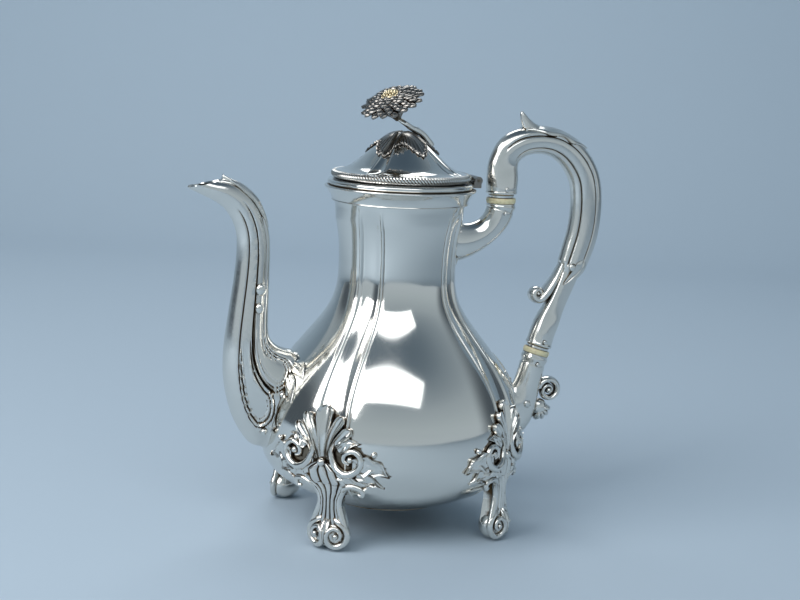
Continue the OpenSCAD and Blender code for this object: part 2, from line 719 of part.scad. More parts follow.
// Feet: an ornamented shield on the belly, a leg and a rolled toe, on the four diagonals.
// Height, half width and depth of the casting from the toe up
toe_z = toe_r - toe_flat;
toe_taper = 0.3;
foot_stations = [
    [toe_z + 1, leg_w + 1.2, leg_d],
    [toe_z + 8, leg_w + 0.6, leg_d],
    [toe_z + 14, leg_w, leg_d],
    [toe_z + 20, leg_w + 0.2, leg_d],
    [toe_z + 26, leg_w + 1.5, shield_t + 2.8],
    [shield_top_z - 38, shield_w - 18, shield_t + 1.8],
    [shield_top_z - 34, shield_w - 11, shield_t + 1],
    [shield_top_z - 29, shield_w - 5, shield_t],
    [shield_top_z - 24, shield_w - 5, shield_t],
    [shield_top_z - 19, shield_w - 9, shield_t],
    [shield_top_z - 14, shield_w - 14, shield_t],
    [shield_top_z - 8, shield_w - 19, shield_t],
    [shield_top_z - 3, shield_w - 24, shield_t],
    [shield_top_z - 1, shield_w - 28, shield_t]
];
shield_edge_t = 0.8;
leg_forward = 0.5;
leg_back_r = foot_r - leg_d / 2 + leg_forward;
// Angles of a foot's points across the strip, and past it where the foot is wider
foot_steps = 3;
function foot_half(half, h) = half <= h
    ? [for (k = [1 : strip_steps + foot_steps]) half * k / (strip_steps + foot_steps)]
    : concat([for (k = [1 : strip_steps]) h * k / strip_steps],
        [for (k = [1 : foot_steps]) mix(h, half, k / foot_steps)]);
function foot_angles(half, h) = let (side = foot_half(half, h), n = len(side))
    concat([for (k = [n - 1 : -1 : 0]) -side[k]], [0], side);
// Extra gap where a shield's slanting edges cross the strip's ridges
ridge_gap = 0.15;
function foot_back_r(a, z) = max(body_r(45 + a, z) + solder_gap + ridge_gap, leg_back_r);
function foot_loop(s) = let (
    z = s[0],
    half = s[1] / foot_back_r(0, z) * 180 / PI,
    angles = foot_angles(half, strip_angle(strip_w(z), round_r(z))),
    back = [for (a = angles) foot_back_r(a, z)],
    front = [for (i = [0 : len(angles) - 1]) back[i] + shield_edge_t
        + (s[2] - shield_edge_t) * sqrt(max(0, 1 - pow(angles[i] / half, 2)))])
    concat(
        [for (i = [0 : len(angles) - 1]) [front[i] * cos(angles[i]), front[i] * sin(angles[i]), z]],
        [for (i = [len(angles) - 1 : -1 : 0]) [back[i] * cos(angles[i]), back[i] * sin(angles[i]), z]]);

// Ornament of a shield. Its lines are given as shares of the shield's half width
// and distances below the shield's top; a scroll's third value is its half width
scroll_line = [
    [0.21, 15.5, 0.8], [0.16, 21.5, 1.4], [0.23, 27.4, 1.8], [0.34, 30.6, 2], [0.5, 31.6, 2],
    [0.66, 28.4, 1.9], [0.71, 23.4, 1.7], [0.59, 19.6, 1.5], [0.45, 21.2, 1.3], [0.42, 24.8, 1.2],
    [0.51, 26.4, 0.9]
];
shell_middle = [[0, 26], [0, 14], [0, 0]];
shell_side = [[0.1, 25], [0.23, 16], [0.41, 5]];
shell_middle_w = 0.19 * shield_w;
shell_side_w = 0.14 * shield_w;
shell_bead_r = 1.9;
shell_bead_down = 27.6;
// Leaves above, beside and below a scroll: line, half width and share of the height
shield_leaves = [
    [[[0.21, 19], [0.39, 13.5], [0.58, 12]], 3.4, 0.75],
    [[[0.58, 26.5], [0.88, 26.5], [1.15, 31]], 4.6, 0.8],
    [[[0.29, 32.5], [0.58, 36.5], [0.85, 35.4]], 3.2, 0.75]
];
// Sections as shares of the half width and of the height
round_section = [[-1, 0], [-0.75, 0.7], [0, 1], [0.75, 0.7], [1, 0]];
leaf_section = [[-1, 0], [-0.85, 0.95], [0, 0.7], [0.85, 0.95], [1, 0]];
flute_section = [[-1, 0], [-0.8, 1], [0, 0.62], [0.8, 1], [1, 0]];
// How far the forms' undersides stand over the shield's back, inside its ground
form_low = 0.7;
// Shares of a leaf's and a flute's half width and height at their two ends
leaf_root = 0.1;
leaf_skew = 0.7;
leaf_tip = 0.1;
leaf_low = 0.6;
flute_root = 0.3;
flute_tip = 0.4;
flute_rise = [0.6, 0.9];
function on_shield(x, z, out) = let (
    a = x / foot_back_r(0, z) * 180 / PI,
    r = foot_back_r(a, z),
    w = wall_out(z))
    [(r + out * w.x) * cos(a), (r + out * w.x) * sin(a), z + out * w.y];
// Line of a form on one side of a foot
function form_line(points, side) = [
    for (p = smooth(points, 2)) [side * shield_w * p[0], shield_top_z - p[1], p[2]]
];
// Paths as rows of across, height, half width and height over the back
scroll_widest = max([for (s = scroll_line) s[2]]);
function scroll_path(side) = [
    for (s = form_line(scroll_line, side)) [s[0], s[1], s[2], ornament_h * s[2] / scroll_widest]
];
function leaf_path(points, half, high, side) = let (line = form_line(points, side), n = len(line) - 1)
    [for (i = [0 : n]) [line[i][0], line[i][1],
        half * max(leaf_tip, sin(180 * pow(mix(leaf_root, 1, i / n), leaf_skew))),
        high * mix(1, leaf_low, i / n)]];
function flute_path(points, half, side) = let (line = form_line(points, side), n = len(line) - 1)
    [for (i = [0 : n]) [line[i][0], line[i][1],
        half * (i == n ? flute_tip : mix(flute_root, 1, i / n)),
        ornament_h * mix(flute_rise[0], flute_rise[1], i / n)]];
module form(path, section) {
    last = len(path) - 1;
    skin([for (i = [0 : last]) let (
        step = path[min(i + 1, last)] - path[max(i - 1, 0)],
        ahead = unit([step[0], step[1]]),
        s = path[i])
        [for (p = section) on_shield(s[0] + ahead.y * s[2] * p[0], s[1] - ahead.x * s[2] * p[0],
            mix(form_low, s[3], p[1]))]], false);
}
module ornament() {
    form(flute_path(shell_middle, shell_middle_w, 1), flute_section);
    translate(on_shield(0, shield_top_z - shell_bead_down, shell_bead_r)) sphere(shell_bead_r);
    for (side = [-1, 1]) {
        form(flute_path(shell_side, shell_side_w, side), flute_section);
        form(scroll_path(side), round_section);
        for (leaf = shield_leaves)
            form(leaf_path(leaf[0], leaf[1], ornament_h * leaf[2], side), leaf_section);
    }
}
module foot(turn) {
    color(silver) rotate([0, 0, turn]) union() {
        skin([for (s = foot_stations) foot_loop(s)], false);
        ornament();
        difference() {
            translate([foot_r, 0, toe_z]) rotate([90, 0, 0]) toe_roll();
            translate([foot_r - toe_w, -toe_w, -toe_w]) cube([2 * toe_w, 2 * toe_w, toe_w]);
        }
    }
}
// Barrel that is fullest in its middle
module toe_roll() {
    rotate_extrude() polygon(concat([[0, -toe_w / 2]],
        [for (k = [-4 : 4]) [toe_r * (1 - toe_taper * pow(k / 4, 2)), toe_w * k / 8]],
        [[0, toe_w / 2]]));
}
module foot_front_left() {
    foot(-135);
}
module foot_front_right() {
    foot(-45);
}
module foot_back_left() {
    foot(135);
}
module foot_back_right() {
    foot(45);
}

// Hinge
lug_gap = lid_knuckle_w + knuckle_gap;
swing_clear = 0.4;
hinge_plate_top = hinge_z - knuckle_r - swing_clear;
// How far the block stops short of the knuckles' back and of the axis
hinge_back = 0.6;
lug_drop = 0.5;
module knuckle(from, to, r) {
    translate([hinge_x, from, hinge_z]) rotate([-90, 0, 0]) cylinder(r = r, h = to - from);
}
module hinge_body_leaf() {
    inner_x = roll_r + solder_gap;
    depth = hinge_x + knuckle_r - hinge_back - inner_x;
    color(silver) difference() {
        union() {
            for (side = [-1, 1]) {
                from = side < 0 ? -hinge_w : lug_gap;
                knuckle(from, from + hinge_w - lug_gap, knuckle_r);
                translate([inner_x, from, ledge_z])
                    cube([depth, hinge_w - lug_gap, hinge_z - lug_drop - ledge_z]);
            }
            translate([inner_x, -hinge_w, ledge_z])
                cube([depth, 2 * hinge_w, hinge_plate_top - ledge_z]);
        }
        knuckle(-2 * hinge_w, 2 * hinge_w, hinge_pin_r + hinge_clear);
    }
}
// How far the pin stands out at each end
pin_over = 0.4;
module hinge_pin() {
    color(dark_silver) knuckle(-hinge_w - pin_over, hinge_w + pin_over, hinge_pin_r);
}
lid_leaf_drop = 0.2;
module hinge_lid_leaf() {
    color(silver) difference() {
        union() {
            knuckle(-lid_knuckle_w, lid_knuckle_w, knuckle_r);
            translate([lid_rim_r, -lid_knuckle_w, hinge_z - lid_leaf_drop])
                cube([hinge_x - lid_rim_r, 2 * lid_knuckle_w, lid_leaf_t]);
        }
        cylinder(r = lid_rim_r + solder_gap, h = 2 * dome_top_z);
        knuckle(-2 * hinge_w, 2 * hinge_w, hinge_pin_r + hinge_clear);
    }
}

// Lid
rope_z = lid_top_z - rope_drop;
rope_mid_r = lid_rim_r - rope_r;
module lid_rim() {
    color(silver) rotate_extrude() polygon(concat(
        [[bezel_r - bezel_wall, lid_z], [rope_mid_r, lid_z]],
        [for (a = [-60 : 20 : 60]) [rope_mid_r + rope_r * cos(a), rope_z + rope_r * sin(a)]],
        [[rope_mid_r, lid_top_z], [bezel_r - bezel_wall, lid_top_z]]));
}
module lid_bezel() {
    color(silver) translate([0, 0, lid_z - bezel_depth]) difference() {
        cylinder(r = bezel_r, h = bezel_depth);
        translate([0, 0, -1]) cylinder(r = bezel_r - bezel_wall, h = bezel_depth + 2);
    }
}

// Dome: an ogee with four panels; radius runs from the rim to the stud's hole
nut_r = 3.4;
nut_h = 2;
dome_skew = 1.1;
dome_ridge = 0.3;
dome_foot_w = 0.6;
dome_rings = 8;
dome_in_rings = 5;
stud_hole_r = (stud_r + pin_clear) / cos(180 / 48);
function dome_share(r) = (1 + cos(180 * pow(r / dome_r, dome_skew))) / 2;
function dome_fade(r) = sin(180 * min(1, r / dome_r));
function dome_round_z(r) = lid_top_z + dome_h * dome_share(r);
function dome_z(angle, r) = dome_round_z(r) + dome_fade(r)
    * lobe(from_strip(angle), strip_angle(dome_strip_w, r), dome_bulge, dome_ridge, dome_sink);
function dome_in_z(r) = dome_round_z(r) - dome_wall - dome_sink * dome_fade(r);
dome_lip_r = dome_r * pow(acos(2 * (dome_wall + dome_foot_w) / dome_h - 1) / 180, 1 / dome_skew);
dome_radii = [for (i = [0 : dome_rings]) mix(dome_r, stud_hole_r, i / dome_rings)];
dome_in_radii = concat([stud_hole_r],
    [for (i = [0 : dome_in_rings]) mix(nut_r, dome_lip_r, i / dome_in_rings)]);
module lid_dome() {
    outer = [for (r = dome_radii)
        [for (a = ring_angles(strip_angle(dome_strip_w, r))) [r * cos(a), r * sin(a), dome_z(a, r)]]];
    inner = [for (r = dome_in_radii)
        [for (a = ring_angles(strip_angle(dome_strip_w, r)))
            [r * cos(a), r * sin(a), r < dome_lip_r ? dome_in_z(r) : lid_top_z]]];
    color(silver) skin(concat(outer, inner), true);
}

// Finial: a five-lobed leaf on the dome, a bent stem and a flower
leaf_lobes = 5;
leaf_turn = -2;
leaf_sides = 40;
leaf_notch = 0.42;
leaf_rings = 6;
leaf_thin = 0.6;
leaf_bluntness = 1.6;
function leaf_edge(a) = leaf_r
    * (1 - leaf_notch * pow(abs(sin(leaf_lobes * (a - leaf_turn) / 2)), leaf_bluntness));
function leaf_loop(share, rise) = [
    for (j = [0 : leaf_sides - 1]) let (
        a = 360 * j / leaf_sides,
        r = mix(stud_hole_r, leaf_edge(a), share))
        [r * cos(a), r * sin(a), dome_round_z(r) + dome_fade(r) * dome_bulge + solder_gap + rise]
];
module finial_leaf() {
    under = [for (k = [0 : leaf_rings]) leaf_loop(k / leaf_rings, 0)];
    top = [for (k = [leaf_rings - 1 : -1 : 0]) leaf_loop(k / leaf_rings, leaf_t)];
    color(silver) skin(concat(under, [leaf_loop(1, leaf_t * leaf_thin)], top), true);
}

flower_up = [sin(flower_tilt) * cos(flower_turn), sin(flower_tilt) * sin(flower_turn), cos(flower_tilt)];
flower_at = [-flower_out, 0, dome_top_z + flower_rise];
calyx_h = 7;
calyx_edge = 0.5;
petal_base = -3;
stem_end = flower_at + flower_up * (petal_base - calyx_h);
stem_foot_x = 15;
stem_sides = 10;
leaf_top = dome_bulge + solder_gap + leaf_t;
// Height of the stem's middle over the dome's round form, clear of the leaf
stem_gap = 0.3;
function dome_slope(x) = (dome_round_z(x + 0.5) - dome_round_z(x - 0.5));
function stem_z(x) = dome_round_z(x) + leaf_top + (stem_root_r + stem_gap) * sqrt(1 + pow(dome_slope(x), 2));
stem_bend_z = mix(dome_top_z + leaf_top + stem_root_r, stem_end.z, 0.35);
stem_points = [
    [stem_foot_x, 0, stem_z(stem_foot_x), stem_root_r],
    [stem_foot_x * 2 / 3, 0, stem_z(stem_foot_x * 2 / 3), stem_root_r],
    [stem_foot_x / 3, 0, stem_z(stem_foot_x / 3), stem_root_r],
    [0, stem_end.y / 3, stem_bend_z, (stem_root_r + stem_r) / 2],
    [stem_end.x, stem_end.y, stem_end.z, stem_r]
];
stem_run = smooth(stem_points, 4);
function stem_loop(i) = let (
    n = len(stem_run),
    p = stem_run[i],
    q = stem_run[max(i - 1, 0)],
    r = stem_run[min(i + 1, n - 1)],
    t = i == n - 1 ? flower_up : unit([r[0] - q[0], r[1] - q[1], r[2] - q[2]]),
    e = unit(cross([0, 1, 0], t)),
    f = cross(t, e))
    [for (j = [0 : stem_sides - 1]) let (a = 360 * j / stem_sides)
        [p[0], p[1], p[2]] + p[3] * (cos(a) * e + sin(a) * f)];
stud_end = 1;
nut_gap = 0.05;
nut_top_z = dome_in_z(nut_r);
module finial_stem() {
    color(silver) union() {
        skin([for (i = [0 : len(stem_run) - 1]) stem_loop(i)], false);
        translate([0, 0, nut_top_z - nut_h - stud_end])
            cylinder(r = stud_r, h = stem_bend_z - nut_top_z + nut_h + stud_end);
    }
}
module finial_nut() {
    color(dark_silver) translate([0, 0, nut_top_z - nut_h - nut_gap]) difference() {
        cylinder(r = nut_r, h = nut_h, $fn = 6);
        translate([0, 0, -1]) cylinder(r = stud_r + pin_clear, h = nut_h + 2);
    }
}

module on_flower() {
    translate(flower_at) rotate([0, flower_tilt, flower_turn]) children();
}
// Row of petals: a dish with a flat hub and a scalloped, rising edge
function petal_loop(r, z, count, scallop, wave) = [
    for (j = [0 : 4 * count - 1]) let (
        a = 90 * j / count,
        w = abs(sin(count * a / 2)),
        e = r - scallop * pow(1 - w, 2))
        [e * cos(a), e * sin(a), z + wave * w]
];
petal_t = 1.1;
petal_edge_t = 0.7;
petal_scallop = 2.4;
petal_wave = 0.3;
hub_r = 5.2;
// For each row: how far its edge and its hub stand inside the outer row's,
// the height of its edge and how many petals fewer it has
petal_rows = [[0, 0, -0.4, 0], [3.6, 0.4, 1.4, 2], [7.4, 0.8, 2.6, 6]];
module petal_row(k) {
    row = petal_rows[k];
    edge = flower_r - row[0];
    hub = hub_r - row[1];
    count = petal_count - row[3];
    floor_z = petal_base + k * petal_t;
    scallop = petal_scallop * edge / flower_r;
    middle = (hub + edge) / 2;
    middle_z = mix(floor_z, row[2], 0.35);
    color(silver) on_flower() skin([
        petal_loop(hub, floor_z, count, 0, 0),
        petal_loop(middle, middle_z, count, 0, 0),
        petal_loop(edge, row[2], count, scallop, 0),
        petal_loop(edge, row[2] + petal_edge_t, count, scallop, petal_wave),
        petal_loop(middle, middle_z + petal_t, count, 0, petal_wave),
        petal_loop(hub, floor_z + petal_t, count, 0, 0)
    ], false);
}
module flower_outer_petals() {
    petal_row(0);
}
module flower_middle_petals() {
    petal_row(1);
}
module flower_inner_petals() {
    petal_row(2);
}
// Domed button in the middle of the flower
heart_r = 4;
heart_h = 2.8;
module flower_heart() {
    dome_arc_r = (heart_r * heart_r + heart_h * heart_h) / (2 * heart_h);
    color(gilt) on_flower() translate([0, 0, petal_base + len(petal_rows) * petal_t]) rotate_extrude()
        intersection() {
            translate([0, heart_h - dome_arc_r]) circle(r = dome_arc_r);
            square([heart_r, heart_h]);
        }
}
module flower_calyx() {
    color(dark_silver) on_flower() translate([0, 0, petal_base - calyx_h]) rotate_extrude()
        polygon(concat([[0, 0]],
            [for (t = [0 : 0.25 : 1]) [mix(stem_r + calyx_edge, hub_r, t * t), calyx_h * t]],
            [[0, calyx_h]]));
}

body_shell();
base_plate();
mouth_collar();
spout();
spout_leaf();
upper_socket();
lower_socket();
upper_insulator();
lower_insulator();
handle();
thumb_leaf();
handle_curl();
upper_handle_pin();
upper_socket_pin();
lower_handle_pin();
lower_socket_pin();
foot_front_left();
foot_front_right();
foot_back_left();
foot_back_right();
hinge_body_leaf();
hinge_pin();
hinge_lid_leaf();
lid_dome();
lid_rim();
lid_bezel();
finial_leaf();
finial_stem();
finial_nut();
flower_calyx();
flower_outer_petals();
flower_middle_petals();
flower_inner_petals();
flower_heart();
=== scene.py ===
"""Looks of a silver coffee pot.

A panelled body carries a reeded spout, a loop handle on ivory rings, four cast feet and a hinged lid.
"""

import json
import logging
import math
from dataclasses import dataclass, field
from enum import Enum
from typing import Callable, Sequence

import bmesh
import bpy
import numpy as np
from mathutils import Matrix, Vector
from mathutils.bvhtree import BVHTree

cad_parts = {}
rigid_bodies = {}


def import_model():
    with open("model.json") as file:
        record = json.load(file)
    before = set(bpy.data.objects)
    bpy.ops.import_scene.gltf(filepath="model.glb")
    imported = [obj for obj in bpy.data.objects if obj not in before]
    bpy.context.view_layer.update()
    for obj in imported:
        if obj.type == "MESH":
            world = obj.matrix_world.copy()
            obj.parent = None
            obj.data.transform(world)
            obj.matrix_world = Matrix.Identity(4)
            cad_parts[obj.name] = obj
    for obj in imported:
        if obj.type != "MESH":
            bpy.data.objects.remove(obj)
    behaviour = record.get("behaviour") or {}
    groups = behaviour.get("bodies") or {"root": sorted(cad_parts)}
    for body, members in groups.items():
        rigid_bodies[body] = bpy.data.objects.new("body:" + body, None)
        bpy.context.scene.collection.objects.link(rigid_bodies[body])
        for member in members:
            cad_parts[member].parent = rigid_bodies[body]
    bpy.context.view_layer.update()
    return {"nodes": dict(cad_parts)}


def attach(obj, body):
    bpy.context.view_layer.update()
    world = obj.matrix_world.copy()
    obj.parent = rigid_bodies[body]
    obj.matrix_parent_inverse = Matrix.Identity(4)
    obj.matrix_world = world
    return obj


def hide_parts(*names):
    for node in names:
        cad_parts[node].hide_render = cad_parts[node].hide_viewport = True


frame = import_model()

LOG = logging.getLogger("coffee_pot")
MM = 0.001
SEAM = 0.0005  # mm, points closer than this are one point
TIP = 0.08  # mm, half width of a leaf at its tip
FULL = 2.0 * math.pi

Array = np.ndarray
Number = float | np.ndarray
Flat = tuple[float, float]
Seat = Callable[[Number, Number, Number], Array]


class Body(Enum):
    """The two bodies that the pieces ride on."""

    POT = "pot"
    LID = "lid"


class Slot(Enum):
    """The material slots of the part."""

    SILVER = "silver"
    DARK_SILVER = "dark_silver"
    IVORY = "ivory"
    GILT = "gilt"


def mix(start: Number, end: Number, share: Number) -> Number:
    """Gives the value that lies at a share of the way from start to end."""
    return start + (end - start) * share


def clip(value: Number) -> Array:
    """Keeps values between 0 and 1."""
    return np.clip(value, 0.0, 1.0)


def ease(value: Number) -> Array:
    """Turns a straight rise from 0 to 1 into one that starts and ends softly."""
    held = clip(value)
    return held * held * (3.0 - 2.0 * held)


def bell(distance: Number, width: float) -> Array:
    """Gives a soft hump, 1 at no distance and near 0 at two widths."""
    return np.exp(-(np.asarray(distance) / width) ** 2)


def arch(distance: Number, half: Number) -> Array:
    """Gives a round hump, 1 at no distance and 0 from half on."""
    return np.sqrt(clip(1.0 - (np.asarray(distance) / half) ** 2))


def unit(rows: Array) -> Array:
    """Scales directions to a length of 1."""
    return rows / (np.linalg.norm(rows, axis=-1, keepdims=True) + 1e-9)


def together(*values: Number) -> list[Array]:
    """Gives numbers and arrays as arrays of one shape."""
    return list(np.broadcast_arrays(*(np.asarray(value, dtype=float) for value in values)))


def in_plane(flat: Array) -> Array:
    """Gives rows of (x, z) as points in the plane of the spout and the handle."""
    return np.insert(flat, 1, 0.0, axis=1)


def aim(azimuth: float, elevation: float) -> Vector:
    """Gives the direction at an angle round the pot from +X and an angle over the floor, in degrees."""
    turn, rise = math.radians(azimuth), math.radians(elevation)
    return Vector((math.cos(turn) * math.cos(rise), math.sin(turn) * math.cos(rise), math.sin(rise)))


def swing(first: Vector, second: Vector, angle: float) -> tuple[Vector, Vector]:
    """Turns two directions at right angles by degrees, the first towards the second."""
    cosine, sine = math.cos(math.radians(angle)), math.sin(math.radians(angle))
    return first * cosine + second * sine, second * cosine - first * sine


def flow(stations: Sequence[Sequence[float]], steps: int) -> Array:
    """Draws a smooth curve through stations.

    Args:
        stations: Rows of numbers, two or more.
        steps: Points for each gap between two stations.

    Returns:
        One row for each point, from the first station to the last.
    """
    rows = np.asarray(stations, dtype=float)
    padded = np.vstack([2 * rows[0] - rows[1], rows, 2 * rows[-1] - rows[-2]])
    points = []
    for index in range(len(rows) - 1):
        before, start, end, after = padded[index:index + 4]
        for step in range(steps):
            t = step / steps
            points.append(0.5 * (2 * start + (end - before) * t
                                 + (2 * before - 5 * start + 4 * end - after) * t ** 2
                                 + (3 * start - before - 3 * end + after) * t ** 3))
    points.append(rows[-1])
    return np.array(points)


def run_lengths(points: Array) -> Array:
    """Gives the distance walked along a row of points up to each of them."""
    steps = np.linalg.norm(np.diff(points, axis=0), axis=1)
    return np.concatenate([[0.0], np.cumsum(steps)])


def spiral(centre: Flat, radii: Flat, turns: Flat, points: int) -> Array:
    """Draws a flat spiral.

    Args:
        centre: The middle of the spiral.
        radii: Radius at the start and at the end.
        turns: Angle at the start and at the end, in degrees.
        points: How many points to give.

    Returns:
        The points of the spiral, as rows of two numbers.
    """
    share = np.linspace(0.0, 1.0, points)
    radius = mix(radii[0], radii[1], share)
    angle = np.radians(mix(turns[0], turns[1], share))
    return np.stack([centre[0] + radius * np.cos(angle), centre[1] + radius * np.sin(angle)], 1)


def ends_of(grid: Array) -> Array:
    """Closes a tube of points at both ends with the middle of its first and last ring."""
    first, last = [np.broadcast_to(grid[row, :-1].mean(axis=0), grid[row].shape)[None] for row in (0, -1)]
    return np.concatenate([first, grid, last])


class Casting:
    """A piece while its surfaces are put together, in millimetres."""

    def __init__(self) -> None:
        """Starts an empty piece."""
        self.mesh = bmesh.new()

    def join(self, shape: bmesh.types.BMesh, dark: bool = False) -> None:
        """Merges a shape's doubled points, turns its faces outwards and adds it to the piece.

        Args:
            shape: The shape, which is used up.
            dark: True for ground that keeps its oxide.
        """
        bmesh.ops.remove_doubles(shape, verts=shape.verts, dist=SEAM)
        bmesh.ops.recalc_face_normals(shape, faces=shape.faces)
        if shape.calc_volume(signed=True) < 0.0:
            bmesh.ops.reverse_faces(shape, faces=shape.faces)
        for face in shape.faces:
            face.smooth = True
            face.material_index = int(dark)
        held = bpy.data.meshes.new("shape")
        shape.to_mesh(held)
        shape.free()
        self.mesh.from_mesh(held)
        bpy.data.meshes.remove(held)

    def skin(self, grid: Array, dark: bool = False) -> None:
        """Lays a sheet of faces over a grid of points and merges the edges that meet.

        Args:
            grid: Points as rows by columns by 3.
            dark: True for ground that keeps its oxide.
        """
        rows, columns = grid.shape[0] - 1, grid.shape[1] - 1
        shape = bmesh.new()
        made = bmesh.ops.create_grid(shape, x_segments=columns, y_segments=rows, size=0.5)["verts"]
        for vert in made:
            column = round((vert.co.x + 0.5) * columns)
            row = round((vert.co.y + 0.5) * rows)
            vert.co = grid[row, column]
        self.join(shape, dark)

    def sweep(self, path: Array, girth: Array, facing: Array, flat: float = 1.0, sides: int = 14) -> None:
        """Sweeps an oval along a path and closes it to a point at both ends.

        Args:
            path: The points that the middle of the oval follows.
            girth: Half the oval's width at each point.
            facing: The direction of the oval's height, at each point or the same for all.
            flat: The oval's height over its width.
            sides: Points round the oval.
        """
        side = unit(np.cross(unit(np.gradient(path, axis=0)), facing))
        lift = unit(np.cross(side, np.gradient(path, axis=0)))
        turn = np.linspace(0.0, FULL, sides + 1)[None, :, None]
        half = np.asarray(girth)[:, None, None]
        grid = path[:, None] + side[:, None] * half * np.cos(turn)
        grid = grid + lift[:, None] * half * flat * np.sin(turn)
        self.skin(ends_of(grid))

    def strand(self, seat: Seat, points: Sequence[Flat], girth: Sequence[float], lift: float = 0.4,
               flat: float = 1.0, steps: int = 6, sides: int = 14) -> None:
        """Lays a round strand along a line on a surface.

        Args:
            seat: Gives the place of (across, up, out) on the surface.
            points: The line, as (across, up).
            girth: Half the strand's width at each point of the line.
            lift: How far its middle stands out, as a share of its half width.
            flat: Its height over its width.
            steps: Points drawn for each point of the line.
            sides: Points round the strand.
        """
        across, up, half = flow([(*point, width) for point, width in zip(points, girth)], steps).T
        ground = seat(across, up, np.zeros_like(up))
        out = unit(seat(across, up, np.ones_like(up)) - ground)
        self.sweep(ground + out * (half * lift)[:, None], half, out, flat, sides)

    def blade(self, seat: Seat, spine: Sequence[Flat], half: Callable[[Array], Array],
              top: Callable[[Array, Array], Array], sink: float | Callable[[Array], Array] = 0.3,
              columns: int = 12, rows: int = 28, dark: bool = False) -> None:
        """Lays a leaf on a surface.

        Args:
            seat: Gives the place of (across, up, out) on the surface.
            spine: The leaf's middle line, as (across, up).
            half: Half the leaf's width at shares of its length.
            top: Height of the leaf at shares of its length and of its half width, from -1 to 1.
            sink: How far its underside lies under the surface, or a function of the share of its length.
            columns: Faces across the leaf.
            rows: Faces along the leaf.
            dark: True for ground that keeps its oxide.
        """
        line = flow(spine, max(2, rows // (len(spine) - 1)))
        lengths = run_lengths(line)
        share = (lengths / lengths[-1])[:, None]
        ahead = unit(np.gradient(line, axis=0))
        width = np.maximum(half(share), TIP)
        side = np.linspace(-1.0, 1.0, columns + 1)[None, :]
        across = line[:, :1] - ahead[:, 1:] * side * width
        up = line[:, 1:] + ahead[:, :1] * side * width
        depth = sink(share) if callable(sink) else np.full_like(share, sink)
        upper = seat(across, up, top(share, side) + np.zeros_like(up))
        lower = seat(across, up, -depth + np.zeros_like(up))
        loop = np.concatenate([upper, lower[:, ::-1], upper[:, :1]], axis=1)
        self.skin(ends_of(loop), dark)

    def bead(self, centre: Sequence[float], size: Sequence[float], axes: Matrix | None = None,
             detail: int = 18) -> None:
        """Adds a round or flattened bead.

        Args:
            centre: Its middle.
            size: Half its size along its three axes.
            axes: Turn of its axes, or None for the part's own axes.
            detail: Faces round the bead.
        """
        turn = (axes or Matrix.Identity(3)).to_4x4()
        place = Matrix.Translation(Vector(centre)) @ turn @ Matrix.Diagonal((*size, 1.0))
        shape = bmesh.new()
        bmesh.ops.create_uvsphere(shape, u_segments=detail, v_segments=max(8, detail * 2 // 3), radius=1.0,
                                  matrix=place)
        self.join(shape)

    def turned(self, profile: Sequence[Flat], steps: int, place: Matrix | None = None) -> None:
        """Turns a profile round the upright axis.

        Args:
            profile: Points as (radius, height), where a ring repeats its first point at the end.
            steps: Faces round the axis.
            place: Where the turned shape goes, or None to leave it.
        """
        shape = bmesh.new()
        closed = profile[0] == profile[-1]
        points = profile[:-1] if closed else profile
        verts = [shape.verts.new((radius, 0.0, height)) for radius, height in points]
        pairs = zip(verts, verts[1:] + verts[:1] if closed else verts[1:])
        edges = [shape.edges.new(pair) for pair in pairs]
        bmesh.ops.spin(shape, geom=verts + edges, cent=(0, 0, 0), axis=(0, 0, 1), angle=FULL, steps=steps,
                       use_merge=True)
        bmesh.ops.transform(shape, matrix=place or Matrix.Identity(4), verts=shape.verts)
        self.join(shape)

    def placed(self, place: Matrix) -> None:
        """Moves everything made so far."""
        bmesh.ops.transform(self.mesh, matrix=place, verts=self.mesh.verts)

    def done(self, name: str, body: Body, slot: Slot, finish: "Finish", *nodes: str) -> None:
        """Turns the shapes into a piece of the pot.

        Args:
            name: Name of the piece.
            body: The body that it rides on.
            slot: The slot that its finish stands for; it is not used.
            finish: What its surface is made of.
            nodes: The solids that it replaces.
        """
        bmesh.ops.scale(self.mesh, vec=(MM, MM, MM), verts=self.mesh.verts)
        shades = max(face.material_index for face in self.mesh.faces)
        data = bpy.data.meshes.new(name)
        self.mesh.to_mesh(data)
        self.mesh.free()
        data.set_sharp_from_angle(angle=math.radians(55))
        piece = bpy.data.objects.new(name, data)
        bpy.context.scene.collection.objects.link(piece)
        data.materials.append(finish.material())
        if shades:
            data.materials.append(OXIDISED.material())
        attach(piece, body.value)
        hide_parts(*nodes)
        LOG.info("%s: %d faces", name, len(data.polygons))


def linear(code: str) -> tuple[float, float, float, float]:
    """Turns an sRGB hex colour into linear light."""
    parts = [int(code[index:index + 2], 16) / 255.0 for index in (1, 3, 5)]
    return (*[part / 12.92 if part <= 0.04045 else ((part + 0.055) / 1.055) ** 2.4 for part in parts], 1.0)


def add(tree: bpy.types.NodeTree, kind: str, settings: dict | None = None,
        **inputs: object) -> bpy.types.Node:
    """Adds a node with its settings and links.

    Args:
        tree: The node tree.
        kind: The node's type.
        settings: Properties of the node.
        inputs: Values or output sockets by input name, with _ for a space, or by number as n0, n1 and so on.

    Returns:
        The node.
    """
    made = tree.nodes.new(kind)
    for name, value in (settings or {}).items():
        setattr(made, name, value)
    for name, value in inputs.items():
        key = int(name[1:]) if name[0] == "n" and name[1:].isdigit() else name.replace("_", " ")
        if isinstance(value, bpy.types.NodeSocket):
            tree.links.new(value, made.inputs[key])
        else:
            made.inputs[key].default_value = value
    return made


